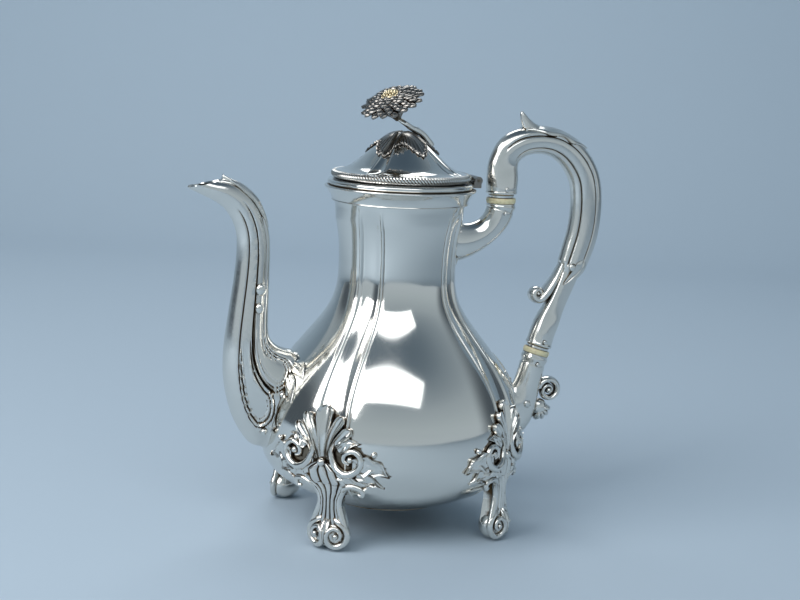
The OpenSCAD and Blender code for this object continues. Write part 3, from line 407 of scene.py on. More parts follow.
@dataclass(frozen=True)
class Finish:
    """A surface that a piece can have."""

    name: str

    def material(self) -> bpy.types.Material:
        """Gives the finish's material, made at its first use.

        Returns:
            The material.
        """
        found = bpy.data.materials.get(self.name)
        if found is not None:
            return found
        made = bpy.data.materials.new(self.name)
        made.use_nodes = True
        made.node_tree.nodes.clear()
        self.draw(made.node_tree)
        return made

    def draw(self, tree: bpy.types.NodeTree) -> None:
        """Draws the finish's nodes, which each kind of finish has of its own."""
        raise NotImplementedError


@dataclass(frozen=True)
class WornSilver(Finish):
    """Sterling silver, hand polished: open faces mirror the room, hollows keep brown oxide."""

    bright: str = "#E6E3DC"
    oxide: str = "#57452F"
    roughness: float = 0.14
    hollow_roughness: float = 0.42
    oxide_start: float = 0.30
    oxide_full: float = 0.80
    wave_mm: float = 26.0
    wave_height: float = 0.10
    blotch_mm: float = 9.0
    rub_mm: float = 0.9  # polishing marks, drawn coarser than real ones so that they show

    def draw(self, tree: bpy.types.NodeTree) -> None:
        """Draws polished metal that darkens with the depth of its hollows.

        Args:
            tree: The material's empty node tree.
        """
        place = add(tree, "ShaderNodeTexCoord").outputs["Object"]
        depth = add(tree, "ShaderNodeAttribute", {"attribute_name": "hollow"}).outputs["Fac"]
        blotch = add(tree, "ShaderNodeTexNoise", Vector=place, Scale=1.0 / (self.blotch_mm * MM), Detail=4.0,
                     Roughness=0.6).outputs["Fac"]
        patchy = add(tree, "ShaderNodeMath", {"operation": "MULTIPLY_ADD"}, n0=blotch, n1=0.36, n2=-0.18)
        uneven = add(tree, "ShaderNodeMath", {"operation": "ADD"}, n0=depth, n1=patchy.outputs[0])
        oxide = add(tree, "ShaderNodeMapRange", {"interpolation_type": "SMOOTHSTEP"}, Value=uneven.outputs[0],
                    From_Min=self.oxide_start, From_Max=self.oxide_full)
        colour = add(tree, "ShaderNodeMix", {"data_type": "RGBA"}, Factor=oxide.outputs[0],
                     n6=linear(self.bright), n7=linear(self.oxide))
        rub = add(tree, "ShaderNodeTexNoise", Vector=place, Scale=1.0 / (self.rub_mm * MM), Detail=3.0,
                  Roughness=0.7).outputs["Fac"]
        haze = add(tree, "ShaderNodeMapRange", Value=rub, From_Min=0.3, From_Max=0.7,
                   To_Min=self.roughness * 0.8, To_Max=self.roughness * 1.25)
        rough = add(tree, "ShaderNodeMix", {"data_type": "FLOAT"}, Factor=oxide.outputs[0],
                    n2=haze.outputs[0], n3=self.hollow_roughness)
        wave = add(tree, "ShaderNodeTexNoise", Vector=place, Scale=1.0 / (self.wave_mm * MM), Detail=1.5,
                   Roughness=0.4).outputs["Fac"]
        bump = add(tree, "ShaderNodeBump", Height=wave, Strength=1.0, Distance=self.wave_height * MM)
        shader = add(tree, "ShaderNodeBsdfPrincipled", Base_Color=colour.outputs[2], Metallic=1.0,
                     Roughness=rough.outputs[0], Normal=bump.outputs[0])
        add(tree, "ShaderNodeOutputMaterial", Surface=shader.outputs[0])


@dataclass(frozen=True)
class TurnedIvory(Finish):
    """Old ivory, turned and waxed: warm cream with faint grain, a soft gloss and a little light inside it."""

    cream: str = "#E9DDB4"
    amber: str = "#A88048"
    grain_mm: float = 1.4

    def draw(self, tree: bpy.types.NodeTree) -> None:
        """Draws cream with amber grain and dark hollows.

        Args:
            tree: The material's empty node tree.
        """
        place = add(tree, "ShaderNodeTexCoord").outputs["Object"]
        depth = add(tree, "ShaderNodeAttribute", {"attribute_name": "hollow"}).outputs["Fac"]
        grain = add(tree, "ShaderNodeTexNoise", Vector=place, Scale=1.0 / (self.grain_mm * MM), Detail=5.0,
                    Roughness=0.65).outputs["Fac"]
        fleck = add(tree, "ShaderNodeMapRange", Value=grain, From_Min=0.5, From_Max=0.8, To_Max=0.5)
        shade = add(tree, "ShaderNodeMath", {"operation": "MULTIPLY_ADD", "use_clamp": True}, n0=depth,
                    n1=1.2, n2=fleck.outputs[0])
        colour = add(tree, "ShaderNodeMix", {"data_type": "RGBA"}, Factor=shade.outputs[0],
                     n6=linear(self.cream), n7=linear(self.amber))
        bump = add(tree, "ShaderNodeBump", Height=grain, Strength=0.3, Distance=0.05 * MM)
        shader = add(tree, "ShaderNodeBsdfPrincipled", Base_Color=colour.outputs[2], Roughness=0.3, IOR=1.54,
                     Subsurface_Weight=0.15, Subsurface_Scale=0.8 * MM, Normal=bump.outputs[0])
        shader.inputs["Subsurface Radius"].default_value = (1.0, 0.7, 0.4)
        add(tree, "ShaderNodeOutputMaterial", Surface=shader.outputs[0])


@dataclass(frozen=True)
class BackdropPaper(Finish):
    """Studio paper, rolled and uncoated: pale, even and matt."""

    colour: str = "#B9C7D2"
    fibre_mm: float = 0.8

    def draw(self, tree: bpy.types.NodeTree) -> None:
        """Draws matt paper with a faint fibre.

        Args:
            tree: The material's empty node tree.
        """
        place = add(tree, "ShaderNodeTexCoord").outputs["Object"]
        fibre = add(tree, "ShaderNodeTexNoise", Vector=place, Scale=1.0 / (self.fibre_mm * MM), Detail=3.0)
        bump = add(tree, "ShaderNodeBump", Height=fibre.outputs["Fac"], Strength=0.2, Distance=0.05 * MM)
        shader = add(tree, "ShaderNodeBsdfPrincipled", Base_Color=linear(self.colour), Roughness=0.85,
                     Normal=bump.outputs[0])
        add(tree, "ShaderNodeOutputMaterial", Surface=shader.outputs[0])


# Body, collar and dome: a clear mirror with slow waves left by the hammer
POLISHED = WornSilver("sterling_silver_polished", roughness=0.1)
# Spout, handle, feet and rim: softer highlights and brown lines in the chasing
CAST = WornSilver("sterling_silver_cast_and_chased", roughness=0.17, oxide_start=0.26, oxide_full=0.66,
                  wave_mm=5.0, wave_height=0.05, blotch_mm=5.0)
# Ground behind the ornament and hidden fittings: dull grey brown
OXIDISED = WornSilver("sterling_silver_oxidised", bright="#7E7466", oxide="#33281D", roughness=0.32,
                      oxide_start=0.1, oxide_full=0.5)
# Flower, draped leaf and hinge: dark grey with nearly black hollows
TARNISHED = WornSilver("sterling_silver_cast_and_tarnished", bright="#938D86", oxide="#2B231D",
                       roughness=0.22, oxide_start=0.16, oxide_full=0.55, wave_mm=5.0, wave_height=0.05,
                       blotch_mm=4.0)
# Heart of the flower: pale worn gold
GILT = WornSilver("silver_gilt_burnished", bright="#E3D2AC", oxide="#6E5530", roughness=0.24, wave_mm=3.0)
# Rings of the handle: warm cream that darkens in the joint
IVORY = TurnedIvory("ivory_turned_and_waxed")
# Floor and backdrop: pale blue grey without gloss
PAPER = BackdropPaper("backdrop_paper")


@dataclass
class Panelled:
    """A raised form with four broad panels and a narrow sunk strip between each two."""

    bulge: float
    ridge: float
    sink: float
    ridge_steps: tuple

    def panels(self, angle: Number, half: Number) -> tuple[Array, Array]:
        """Gives how far the panels and strips stand out from the round.

        Args:
            angle: Angle round the form, in degrees.
            half: Half a strip's width, in degrees.

        Returns:
            The rise, and the angle from the nearest ridge, below 0 inside its strip.
        """
        away = np.abs((np.asarray(angle) + 360.0) % 90.0 - 45.0)
        strip = mix(-self.sink, self.ridge, (away / half) ** 2)
        swell = np.sin(np.radians(90.0 * clip((away - half) / (45.0 - half))))
        return np.where(away < half, strip, mix(self.ridge, self.bulge, swell)), away - half

    def turns(self, half: float, radius: float, strip: int, panel: int) -> Array:
        """Gives the angles of one row of points, close together along the ridges.

        Args:
            half: Half a strip's width, in degrees.
            radius: Radius that the close points are spaced at.
            strip: Points across a strip, with both ends.
            panel: Points across a panel, with both ends.

        Returns:
            Angles in degrees, once round and back to the first.
        """
        steps = np.array(self.ridge_steps)
        near = np.degrees(np.concatenate([-steps[::-1], [0.0], steps]) / radius)
        margin = near[-1]
        inner = np.linspace(-half + margin, half - margin, strip)[1:-1]
        outer = np.linspace(half + margin, 90.0 - half - margin, panel)[1:-1]
        quarter = np.concatenate([-half + near, inner, half + near, outer])
        rows = [quarter + 90.0 * turn for turn in range(4)]
        return np.concatenate(rows + [quarter[:1] + 360.0]) + 45.0


@dataclass
class Vessel(Panelled):
    """The panelled body, its base and the moulded collar at its mouth."""

    base_z: float = 14.0
    base_r: float = 34.0
    bore_r: float = 30.0
    belly_z: float = 47.0
    belly_r: float = 69.5
    neck_z: float = 131.0
    neck_top_z: float = 149.0
    neck_r: float = 30.6
    top_z: float = 175.5
    mouth_r: float = 36.2
    wall: float = 1.0
    bulge: float = 1.4
    ridge: float = 0.5
    sink: float = 1.5
    ridge_steps: tuple = (0.4, 0.72, 0.9, 1.1, 1.5, 2.0)
    strip_belly: float = 9.5
    strip_neck: float = 6.2
    fade: float = 12.0
    bead: float = 0.6
    bead_half: float = 0.75
    soften: float = 9.0
    collar_edge_r: float = 40.8
    collar_edge_z: float = 183.1
    ledge_z: float = 184.0
    roll_r: float = 39.4
    roll_round: float = 1.5
    collar_top_z: float = 187.0
    collar_bore_r: float = 34.2

    def radius(self, z: Number) -> Array:
        """Gives the body's round radius at heights z, with its bends softened."""
        reach = self.soften * clip((np.asarray(z, dtype=float) - self.belly_z) / (2.0 * self.soften))
        return sum(self.plain_radius(z + reach * step) for step in (-1.0, -0.5, 0.0, 0.5, 1.0)) / 5.0

    def plain_radius(self, z: Number) -> Array:
        """Gives the radius of the curves that make up the body's profile.

        Args:
            z: Height.

        Returns:
            The radius.
        """
        z = np.asarray(z, dtype=float)
        low = clip((z - self.base_z) / (self.belly_z - self.base_z))
        belly = mix(self.base_r, self.belly_r, 1.0 - (1.0 - low) ** 2.7)
        rise = clip((z - self.belly_z) / (self.neck_z - self.belly_z))
        shoulder = mix(self.neck_r, self.belly_r, (1.0 + np.cos(math.pi * rise ** 1.43)) / 2.0)
        flare = clip((z - self.neck_top_z) / (self.top_z - self.neck_top_z))
        neck = mix(self.neck_r, self.mouth_r, flare ** 2)
        return np.where(z < self.belly_z, belly, np.where(z < self.neck_z, shoulder, neck))

    def strip_half(self, z: Number) -> Array:
        """Gives half a strip's width.

        Args:
            z: Height.

        Returns:
            The half width, in degrees.
        """
        share = clip((np.asarray(z) - self.belly_z) / (self.neck_z - self.belly_z))
        width = mix(self.strip_belly, self.strip_neck, share)
        return np.degrees(np.arcsin(np.clip(width / self.radius(z), 0.0, 0.5)))

    def lobe(self, angle: Number, z: Number, beaded: bool = False) -> Array:
        """Gives how far the panels and strips stand out from the round.

        Args:
            angle: Angle round the body, in degrees.
            z: Height.
            beaded: True to add the thin bead that runs along each ridge.

        Returns:
            The rise over the round radius.
        """
        rise, off = self.panels(angle, self.strip_half(z))
        if beaded:
            off = np.radians(off) * self.radius(z)
            rise = rise + self.bead * arch(off, self.bead_half)
            rise = rise - 0.3 * bell(np.abs(off) - self.bead_half - 0.3, 0.35)
        return rise * ease((z - self.base_z) / self.fade) * ease((self.top_z - z) / self.fade)

    def seat(self, angle: Number, z: Number, out: Number) -> Array:
        """Gives places over the body.

        Args:
            angle: Angle round the body, in degrees.
            z: Height.
            out: Distance out from the surface.

        Returns:
            The points.
        """
        angle, z, out = together(angle, z, out)
        radius = self.radius(z) + self.lobe(angle, z)
        slope = (self.radius(z + 0.2) - self.radius(z - 0.2)) / 0.4
        turn = np.radians(angle)
        normal = unit(np.stack([np.cos(turn), np.sin(turn), -slope], -1))
        return np.stack([radius * np.cos(turn), radius * np.sin(turn), z], -1) + normal * out[..., None]

    def reach(self, y: Array, z: Array) -> Array:
        """Gives how far the body reaches along X.

        Args:
            y: Places across.
            z: Heights.

        Returns:
            The distance from the middle.
        """
        radius = self.radius(z)
        angle = np.degrees(np.arcsin(np.clip(y / radius, -0.99, 0.99)))
        full = radius + self.lobe(angle, z)
        return np.sqrt(np.clip(full ** 2 - y ** 2, 0.0, None))

    def ring(self, z: float, inset: float, radius: float | None = None) -> Array:
        """Gives one row of points round the body.

        Args:
            z: Height of the row.
            inset: 0 for the outside, the wall's thickness for the inside.
            radius: A plain radius to use instead of the body's own.

        Returns:
            The points of the row.
        """
        turns = self.turns(float(self.strip_half(z)), float(self.radius(z)), 10, 34)
        reach = self.radius(z) + self.lobe(turns, z, inset == 0.0) - inset if radius is None else radius
        turns = np.radians(turns)
        height = max(z, self.base_z + inset)
        return np.stack([reach * np.cos(turns), reach * np.sin(turns), np.full_like(turns, height)], 1)

    def shell(self) -> None:
        """Raises the body: outside, lip and inside in one closed wall."""
        low = self.base_z + (self.belly_z - self.base_z) * np.linspace(0.0, 1.0, 44) ** 1.9
        high = np.linspace(self.belly_z, self.top_z, 126)[1:]
        rows = [self.ring(self.base_z, 0.0, self.bore_r)]
        rows += [self.ring(float(z), 0.0) for z in np.concatenate([low, high])]
        rows += [self.ring(float(z), self.wall) for z in np.concatenate([low[::3], high[2::4]])[::-1]]
        rows += [self.ring(self.base_z, self.wall, self.bore_r), rows[0]]
        casting = Casting()
        casting.skin(np.array(rows))
        casting.done("body_panelled", Body.POT, Slot.SILVER, POLISHED, "body_shell")

    def collar(self) -> None:
        """Turns the collar: a flared band, a sharp edge moulding and the roll that the lid rests on."""
        foot_r, edge = self.mouth_r + 0.35, self.collar_edge_r
        flare = [(mix(foot_r, edge - 0.5, t ** 1.7), mix(self.top_z, self.collar_edge_z - 0.7, t))
                 for t in np.linspace(0.0, 1.0, 16)]
        fillet = [(foot_r + 0.35 * math.cos(a), self.top_z + 0.35 + 0.35 * math.sin(a))
                  for a in np.linspace(-1.4, 1.2, 6)]
        nose = [(edge - 0.55 + 0.62 * math.cos(a), self.collar_edge_z + 0.05 + 0.62 * math.sin(a))
                for a in np.linspace(-1.3, 1.7, 9)]
        cove = [(self.roll_r - 0.3, self.ledge_z - 0.15), (self.roll_r - 0.75, self.ledge_z + 0.1)]
        middle = (self.roll_r - self.roll_round, self.collar_top_z - self.roll_round)
        roll = [(middle[0] + self.roll_round * math.cos(a), middle[1] + self.roll_round * math.sin(a))
                for a in np.linspace(-0.9, math.pi / 2, 14)]
        bore = [(self.collar_bore_r + 0.5, self.collar_top_z), (self.collar_bore_r, self.collar_top_z - 0.5),
                (self.collar_bore_r, self.top_z + 2.0), (self.mouth_r - self.wall, self.top_z)]
        profile = fillet + flare[2:] + nose + cove + roll + bore
        casting = Casting()
        casting.turned(profile + profile[:1], 160)
        casting.done("collar_moulded", Body.POT, Slot.SILVER, POLISHED, "mouth_collar")

    def build(self) -> None:
        """Builds the body and its collar."""
        self.shell()
        self.collar()


@dataclass
class Spout:
    """The scroll spout: reeded bands that swell into two drop panels, a beak and a leaf over the lip."""

    vessel: Vessel
    stations: list = field(default_factory=lambda: [
        [-0.2, 42, -16, 94.5, 13.5], [8.5, 46, -9, 95.5, 13], [14, 52.5, -3.5, 97.5, 12.4],
        [18.8, 61.5, 0, 100.5, 11.8], [22, 72, 1.8, 104, 11.2], [23.7, 82, 2.5, 108.5, 10.5],
        [24.1, 91.5, 2.6, 113, 10], [23.5, 102, 2.6, 119, 9.4], [21.5, 118, 2.5, 128, 8.6],
        [19.5, 133, 2.5, 138, 8], [18.3, 146, 2.5, 148, 7.5], [18.5, 157, 3.2, 157.5, 7.2],
        [21, 165, 5.5, 167, 7.2], [25.5, 171, 9.8, 176, 7.2], [31.5, 175.2, 16.5, 182.2, 7],
        [38.5, 178.6, 22.5, 185, 6.4], [46, 182, 28.5, 186, 5]])
    steps: int = 14
    sides: int = 160
    wall: float = 1.2
    bands_root: tuple = (44.0, 99.0, 150.0)
    bands_tube: tuple = (62.0, 98.0, 138.0)
    seat_rows: int = 8

    def surface(self) -> tuple[Array, Array, Array]:
        """Lofts the plain spout.

        Returns:
            Points and outward directions as rows by columns by 3, and the distance of each row from the root.
        """
        rows = flow(self.stations, self.steps)
        turn = np.linspace(0.0, FULL, self.sides + 1)
        front = np.stack([-self.vessel.belly_r - rows[:, 0], rows[:, 1]], 1)
        back = np.stack([-self.vessel.belly_r - rows[:, 2], rows[:, 3]], 1)
        share = (1.0 + np.cos(turn)) / 2.0
        flat = back[:, None, :] + (front - back)[:, None, :] * share[None, :, None]
        across = -rows[:, 4][:, None] * np.sin(turn)[None, :]
        points = np.stack([flat[:, :, 0], across, flat[:, :, 1]], 2)
        shift = -self.vessel.reach(points[0, :, 1], points[0, :, 2]) + 0.4 - points[0, :, 0]
        for row in range(self.seat_rows):
            points[row, :, 0] += shift * (1.0 - ease(row / self.seat_rows))
        along = np.gradient(points, axis=0)
        around = np.gradient(points, axis=1)
        around[:, 0] = around[:, -1] = points[:, 1] - points[:, -2]
        normal = unit(np.cross(along, around))
        outward = points - points.mean(axis=1)[:, None, :]
        normal *= np.sign((normal * outward).sum(axis=2).mean())
        return points, normal, run_lengths(points[:, self.sides // 4])

    def relief(self, points: Array, length: Array) -> Array:
        """Gives the height of the bands, drops and ribs over the plain spout.

        Args:
            points: The plain spout's points.
            length: Distance of each row from the root.

        Returns:
            One height for each point.
        """
        turn = np.linspace(0.0, 360.0, self.sides + 1)
        fold = np.degrees(np.arccos(np.cos(np.radians(turn))))[None, :]
        girth = np.linalg.norm(np.diff(points, axis=1), axis=2).sum(axis=1)
        scale = (girth / 360.0)[:, None]
        far, total = length[:, None], length[-1]
        blend = ease(far / 46.0)
        low, middle, high = [mix(root, tube, blend) for root, tube in zip(self.bands_root, self.bands_tube)]
        height = np.zeros_like(points[:, :, 0])

        def inside(start: Array, end: Array, cut: float) -> tuple[Array, Array]:
            """Gives how far points lie inside a band with a round end near the root.

            Args:
                start: The band's first edge, in degrees from the spout's front.
                end: Its other edge.
                cut: Distance of its round end from the root.

            Returns:
                The distance inside it, and half its width.
            """
            half = (end - start) / 2.0 * scale
            off = (fold - (start + end) / 2.0) * scale
            back = np.clip(cut + half - far, 0.0, None)
            return half - np.sqrt(off ** 2 + back ** 2), half

        depth, half = inside(middle, high, 1.5)
        size = np.clip(half / 6.0, 0.4, 1.0)
        into = depth / size
        wide = ease((half - 3.2) / 1.5)
        drop = 1.1 * arch(into - 0.8, 0.8) + 0.8 * arch(into - 2.6, 0.7) * wide
        drop += np.where(into > 1.6, 0.15 + 0.7 * ease((into - 1.6) / 4.0), 0.0)
        height += drop * size * (depth > 0) - 0.7 * bell(depth, 0.5)

        depth, half = inside(low, middle, 4.0)
        size = np.clip(half / 6.0, 0.4, 1.0)
        into = depth / size
        wide = ease((half - 3.4) / 1.5)
        panel = 1.2 * arch(into - 0.85, 0.85) + 0.8 * arch(into - 3.0, 0.7) * wide
        panel += np.where(into > 1.7, mix(0.6, -0.15, wide), 0.0)
        nick = (0.5 + 0.5 * np.cos(FULL * far / 6.1 + 1.3 * np.sin(far / 7.0))) ** 2
        panel -= 0.35 * nick * bell((fold - middle + 7.0) * scale, 0.8) * ease((far - 60.0) / 8.0)
        height += panel * size * (depth > 0) - 0.7 * bell(depth, 0.5)

        beak = ease((far - total * 0.76) / (total * 0.12))
        height += 1.1 * arch(fold, low) * (1.0 - 0.7 * beak) * (fold < low) * ease(far / 6.0)
        height += 1.0 * arch(180.0 - fold, 180.0 - high) * (fold > high) * ease(far / 4.0)
        fade = 1.0 - beak * ease((fold - 20.0) / 30.0) * ease((150.0 - fold) / 20.0)
        return height * fade * ease(far / 2.5) * ease((total - far) / 1.5)

    def on_side(self, points: Array, normal: Array) -> Seat:
        """Gives a seat on the spout.

        Args:
            points: The plain spout's points.
            normal: Its outward directions.

        Returns:
            The seat: across is the turn from its front in degrees, up the row number.
        """
        def seat(turn: Number, row: Number, out: Number) -> Array:
            """Gives places between the spout's points.

            Args:
                turn: Turn from the spout's front, in degrees.
                row: Row number.
                out: Distance out from the plain spout.

            Returns:
                The points.
            """
            turn, row, out = together(turn, row, out)
            column = np.clip(turn / 360.0 * self.sides, 0, self.sides - 1e-6)
            row = np.clip(row, 0, len(points) - 1 - 1e-6)
            r, c = row.astype(int), column.astype(int)
            part_r, part_c = (row - r)[..., None], (column - c)[..., None]
            near, way = [mix(mix(kind[r, c], kind[r, c + 1], part_c),
                             mix(kind[r + 1, c], kind[r + 1, c + 1], part_c), part_r)
                         for kind in (points, normal)]
            return near + way * out[..., None]
        return seat

    def ornament(self, casting: Casting, side: Seat) -> None:
        """Lays the beads along the bands and the spray of leaves where the spout meets the body.

        Args:
            casting: The piece that they join.
            side: The seat on the spout.
        """
        def half(t: Array) -> Array:
            """Gives half a leaf's width."""
            return 3.2 * np.sin(math.pi * (0.1 + 0.9 * t) ** 0.6) ** 0.8

        def rise(t: Array, s: Array) -> Array:
            """Gives a leaf's height."""
            return 0.3 + (1.2 * (1.0 - t) + 0.2) * (1.0 - 0.5 * s * s) - 0.5 * bell(s, 0.2) * (1.0 - t)

        for way in (-1.0, 1.0):
            def on_body(across: Number, up: Number, out: Number, w: float = way) -> Array:
                """Gives places on the body, with degrees from the spout's middle as across."""
                return self.vessel.seat(180.0 + across * w, up, out)

            for turn, row, size in ((100.0, 6.0, (2.2, 2.0, 2.2)), (50.0, 12.0, (1.8, 1.8, 1.8)),
                                    (114.0, 117.5, (2.9, 1.9, 3.2)), (114.0, 105.5, (2.5, 1.8, 2.9))):
                casting.bead(side(turn * way % 360.0, row, 0.9), size)
            casting.blade(on_body, [(10.0, 89.0), (16.0, 88.5), (22.0, 84.5)], half, rise)
            casting.blade(on_body, [(11.0, 83.0), (16.5, 79.0), (20.5, 72.0)], half, rise)

    def lip_leaf(self, side: Seat, last: float) -> None:
        """Lays the leaf over the back of the lip, with its tip curled up.

        Args:
            side: The seat on the spout.
            last: Number of the row at the mouth.
        """
        def on_back(across: Number, up: Number, out: Number) -> Array:
            """Gives places on the spout's back."""
            return side(180.0 + across, up, out)

        def half(t: Array) -> Array:
            """Gives half the leaf's width, in degrees."""
            return 56.0 * np.sin(math.pi * clip(0.06 + 0.9 * t)) ** 0.6 * (1.0 - 0.3 * t)

        def lift(t: Array, s: Array) -> Array:
            """Gives the leaf's height."""
            curl = 1.8 * clip((t - 0.75) / 0.25) ** 2 * (1.0 - 0.7 * s * s)
            edge = 0.5 * bell(np.abs(s) - 0.84, 0.12) - 0.4 * bell(np.abs(s) - 0.62, 0.08)
            return 1.4 + curl + edge * ease(t * 5.0)

        leaf = Casting()
        spine = [(0.0, last - back) for back in (64.0, 40.0, 14.0, 1.0)]
        leaf.blade(on_back, spine, half, lift, columns=32, rows=60)
        leaf.done("spout_lip_leaf", Body.POT, Slot.SILVER, CAST, "spout_leaf")

    def build(self) -> None:
        """Builds the spout with its bore, its beads and leaves, and the leaf over its lip."""
        points, normal, length = self.surface()
        side = self.on_side(points, normal)
        casting = Casting()
        self.ornament(casting, side)
        raised = points + normal * self.relief(points, length)[:, :, None]
        bore = (points - normal * self.wall)[::-5]
        casting.skin(np.concatenate([raised, bore, raised[:1]]))
        casting.done("spout_reeded", Body.POT, Slot.SILVER, CAST, "spout")
        self.lip_leaf(side, len(points) - 1.0)


@dataclass
class Handle:
    """The loop handle with its thumb leaf, curl, ivory rings, pins and the two sockets that hold it."""

    vessel: Vessel
    upper_ring: Flat = (58.7, 176.8)
    lower_ring: Flat = (85.3, 91.5)
    ring_r: Flat = (8.0, 7.4)
    ring_t: float = 3.2
    tilt: float = 16.0
    pin_off: float = 6.6
    half_width: float = 6.4
    points: list = field(default_factory=lambda: [
        [0, 0, 18, 8.5], [0, 2.6, 24.8, 7.8], [0, 7.8, 29.2, 7.1], [0, 15, 31.4, 6.6], [0, 23.5, 31.6, 6.4],
        [0, 31.3, 29.8, 6.6], [0, 38.4, 25.8, 7.1], [0, 44.6, 19.6, 7.6], [0, 49.3, 11.4, 7.9],
        [0, 51.3, 1.5, 8.1], [0, 51.5, -10, 8.2], [0, 50.2, -20.4, 8.2], [0, 47.5, -30.2, 8],
        [0, 44.3, -39.5, 7.3], [1, 13.8, 36.5, 6.9], [1, 9.9, 27, 6.8], [1, 6.2, 18.5, 7.2]])
    sides: int = 96
    steps: int = 12
    rib_angles: Flat = (64.0, 128.0)
    knob_at: float = 16.0
    horn: tuple = ((22.0, 33.2, 5.2), (17.4, 37.0, 5.2), (14.0, 40.4, 4.0), (11.7, 43.8, 2.7),
                   (10.2, 46.7, 1.7), (9.3, 48.9, 0.7))
    leaf_from: float = 5.7
    leaf_to: float = 9.7
    curl_from: float = 15.3
    curl_to: float = 18.2
    curl_r: float = 3.6
    curl_off: float = 4.4
    recess: float = 2.0
    recess_depth: float = 1.0
    waist: float = 0.9

    def lower_way(self) -> Array:
        """Gives the direction of the lower ring's axis."""
        return np.array([math.sin(math.radians(self.tilt)), 0.0, math.cos(math.radians(self.tilt))])

    def path(self) -> Array:
        """Draws the handle's middle line from the upper ring to the lower one.

        Returns:
            Rows of x, z, half depth and half width.
        """
        top_x, top_z = self.upper_ring[0], self.upper_ring[1] + self.ring_t / 2.0
        way = self.lower_way()
        low = np.array([self.lower_ring[0], 0.0, self.lower_ring[1]]) + way * (self.ring_t / 2.0)
        upper_r, lower_r = (radius - 0.15 for radius in self.ring_r)
        rows = [[top_x, top_z, upper_r, upper_r], [top_x, top_z + 5.2, 8.6, 8.2]]
        rows.append([top_x, top_z + 10.8, 8.9, 7.6])
        for share, across, up, depth in self.points:
            x, z = mix(top_x, low[0], share) + across, mix(top_z, low[2], share) + up
            rows.append([x, z, depth, self.half_width])
        for back, depth in ((10.5, 7.2), (5.2, 7.3)):
            rows.append([low[0] + way[0] * back, low[2] + way[2] * back, depth, 6.9])
        rows.append([low[0], low[2], lower_r, lower_r])
        return flow(rows, self.steps)

    def frames(self, rows: Array) -> tuple[Array, Array]:
        """Gives the places along the middle line.

        Args:
            rows: The middle line.

        Returns:
            Its points, and the directions that point out of the loop.
        """
        middle = in_plane(rows[:, :2])
        ahead = unit(np.gradient(middle, axis=0))
        return middle, in_plane(np.stack([-ahead[:, 2], ahead[:, 0]], 1))

    def loop(self) -> None:
        """Sweeps the loop with its two ribs, the panel between them and the stepped end of the ribs."""
        rows = self.path()
        middle, outward = self.frames(rows)
        length = run_lengths(middle)[:, None]
        total = length[-1, 0]
        turn = np.linspace(0.0, FULL, self.sides + 1)[None, :]
        fold = np.degrees(np.arccos(np.cos(turn)))
        knob = length[int(self.knob_at * self.steps), 0]
        ribbed = ease((length - 20.0) / 12.0) * ease((knob - length) / 2.0)
        stem = ease((length - knob) / 3.0) * ease((total - 12.0 - length) / 10.0)
        scale = rows[:, 2][:, None] * math.pi / 180.0
        outer, inner = self.rib_angles
        rise = 1.0 * arch(fold, outer) * (fold < outer) + 1.0 * arch(180 - fold, 180 - inner) * (fold > inner)
        span = (fold - (outer + inner) / 2.0) / ((inner - outer) / 2.0)
        rise = rise + 0.6 * np.sqrt(clip(1 - span ** 4)) * (np.abs(span) < 1)
        rise = rise - 0.7 * bell((fold - outer) * scale, 0.5) - 0.8 * bell((fold - inner) * scale, 0.55)
        facets = 0.5 * np.cos(np.radians(fold * 2.0 - 90.0)) ** 2
        facets = facets - 1.3 * ease((total - length - 8.0) / 22.0)
        end = np.minimum(length, total - length)
        collars = 0.45 * bell(end - self.recess - 0.9, 0.6) - self.recess_depth * (end < self.recess)
        relief = rise * ribbed + facets * stem + collars
        depth = rows[:, 2][:, None] + relief
        width = rows[:, 3][:, None] + relief
        grid = middle[:, None, :] + outward[:, None, :] * (depth * np.cos(turn))[:, :, None]
        grid[:, :, 1] -= width * np.sin(turn)
        casting = Casting()
        casting.skin(ends_of(grid))
        for side in (-1.0, 1.0):
            seat = self.on_handle(side * math.pi / 2.0)
            spine = [(side * -3.6, knob - 9.0), (side * -1.6, knob + 0.5), (side * 2.6, knob + 10.5)]
            casting.blade(seat, spine, lambda t: 3.9 * ease(t * 3.0) * clip(1.0 - t) ** 0.7,
                          lambda t, s: 1.7 * ease(t * 3.0) * (1.0 - 0.4 * t) - 0.8 - 0.5 * bell(s, 0.2),
                          sink=2.4)
            casting.bead(seat(side * 1.6, knob - 0.5, -0.2), (2.1, 1.3, 2.1))
        casting.done("handle_ribbed", Body.POT, Slot.SILVER, CAST, "handle")

    def on_handle(self, facing: float) -> Seat:
        """Gives a seat on the handle.

        Args:
            facing: Turn of the seat's line from the outside of the loop, in radians.

        Returns:
            The seat: across from that line and up along the loop, in mm.
        """
        rows = self.path()
        middle, outward = self.frames(rows)
        length = run_lengths(middle)

        def seat(across: Number, up: Number, out: Number) -> Array:
            """Gives places over the handle.

            Args:
                across: Distance from the seat's line.
                up: Distance along the loop.
                out: Distance out from the handle.

            Returns:
                The points.
            """
            across, up, out = together(across, up, out)
            index = np.clip(np.interp(up, length, np.arange(len(rows))), 0, len(rows) - 1.001)
            low = index.astype(int)
            part = (index - low)[..., None]
            place, way, size = [mix(kind[low], kind[low + 1], part) for kind in (middle, outward, rows)]
            turn = facing + np.clip(across / self.half_width, -1.35, 1.35)
            spot = place + way * ((size[..., 2] + 0.8 + out) * np.cos(turn))[..., None]
            spot[..., 1] = np.sin(turn) * (size[..., 3] + 0.6 + np.minimum(out, 2.5))
            return spot
        return seat

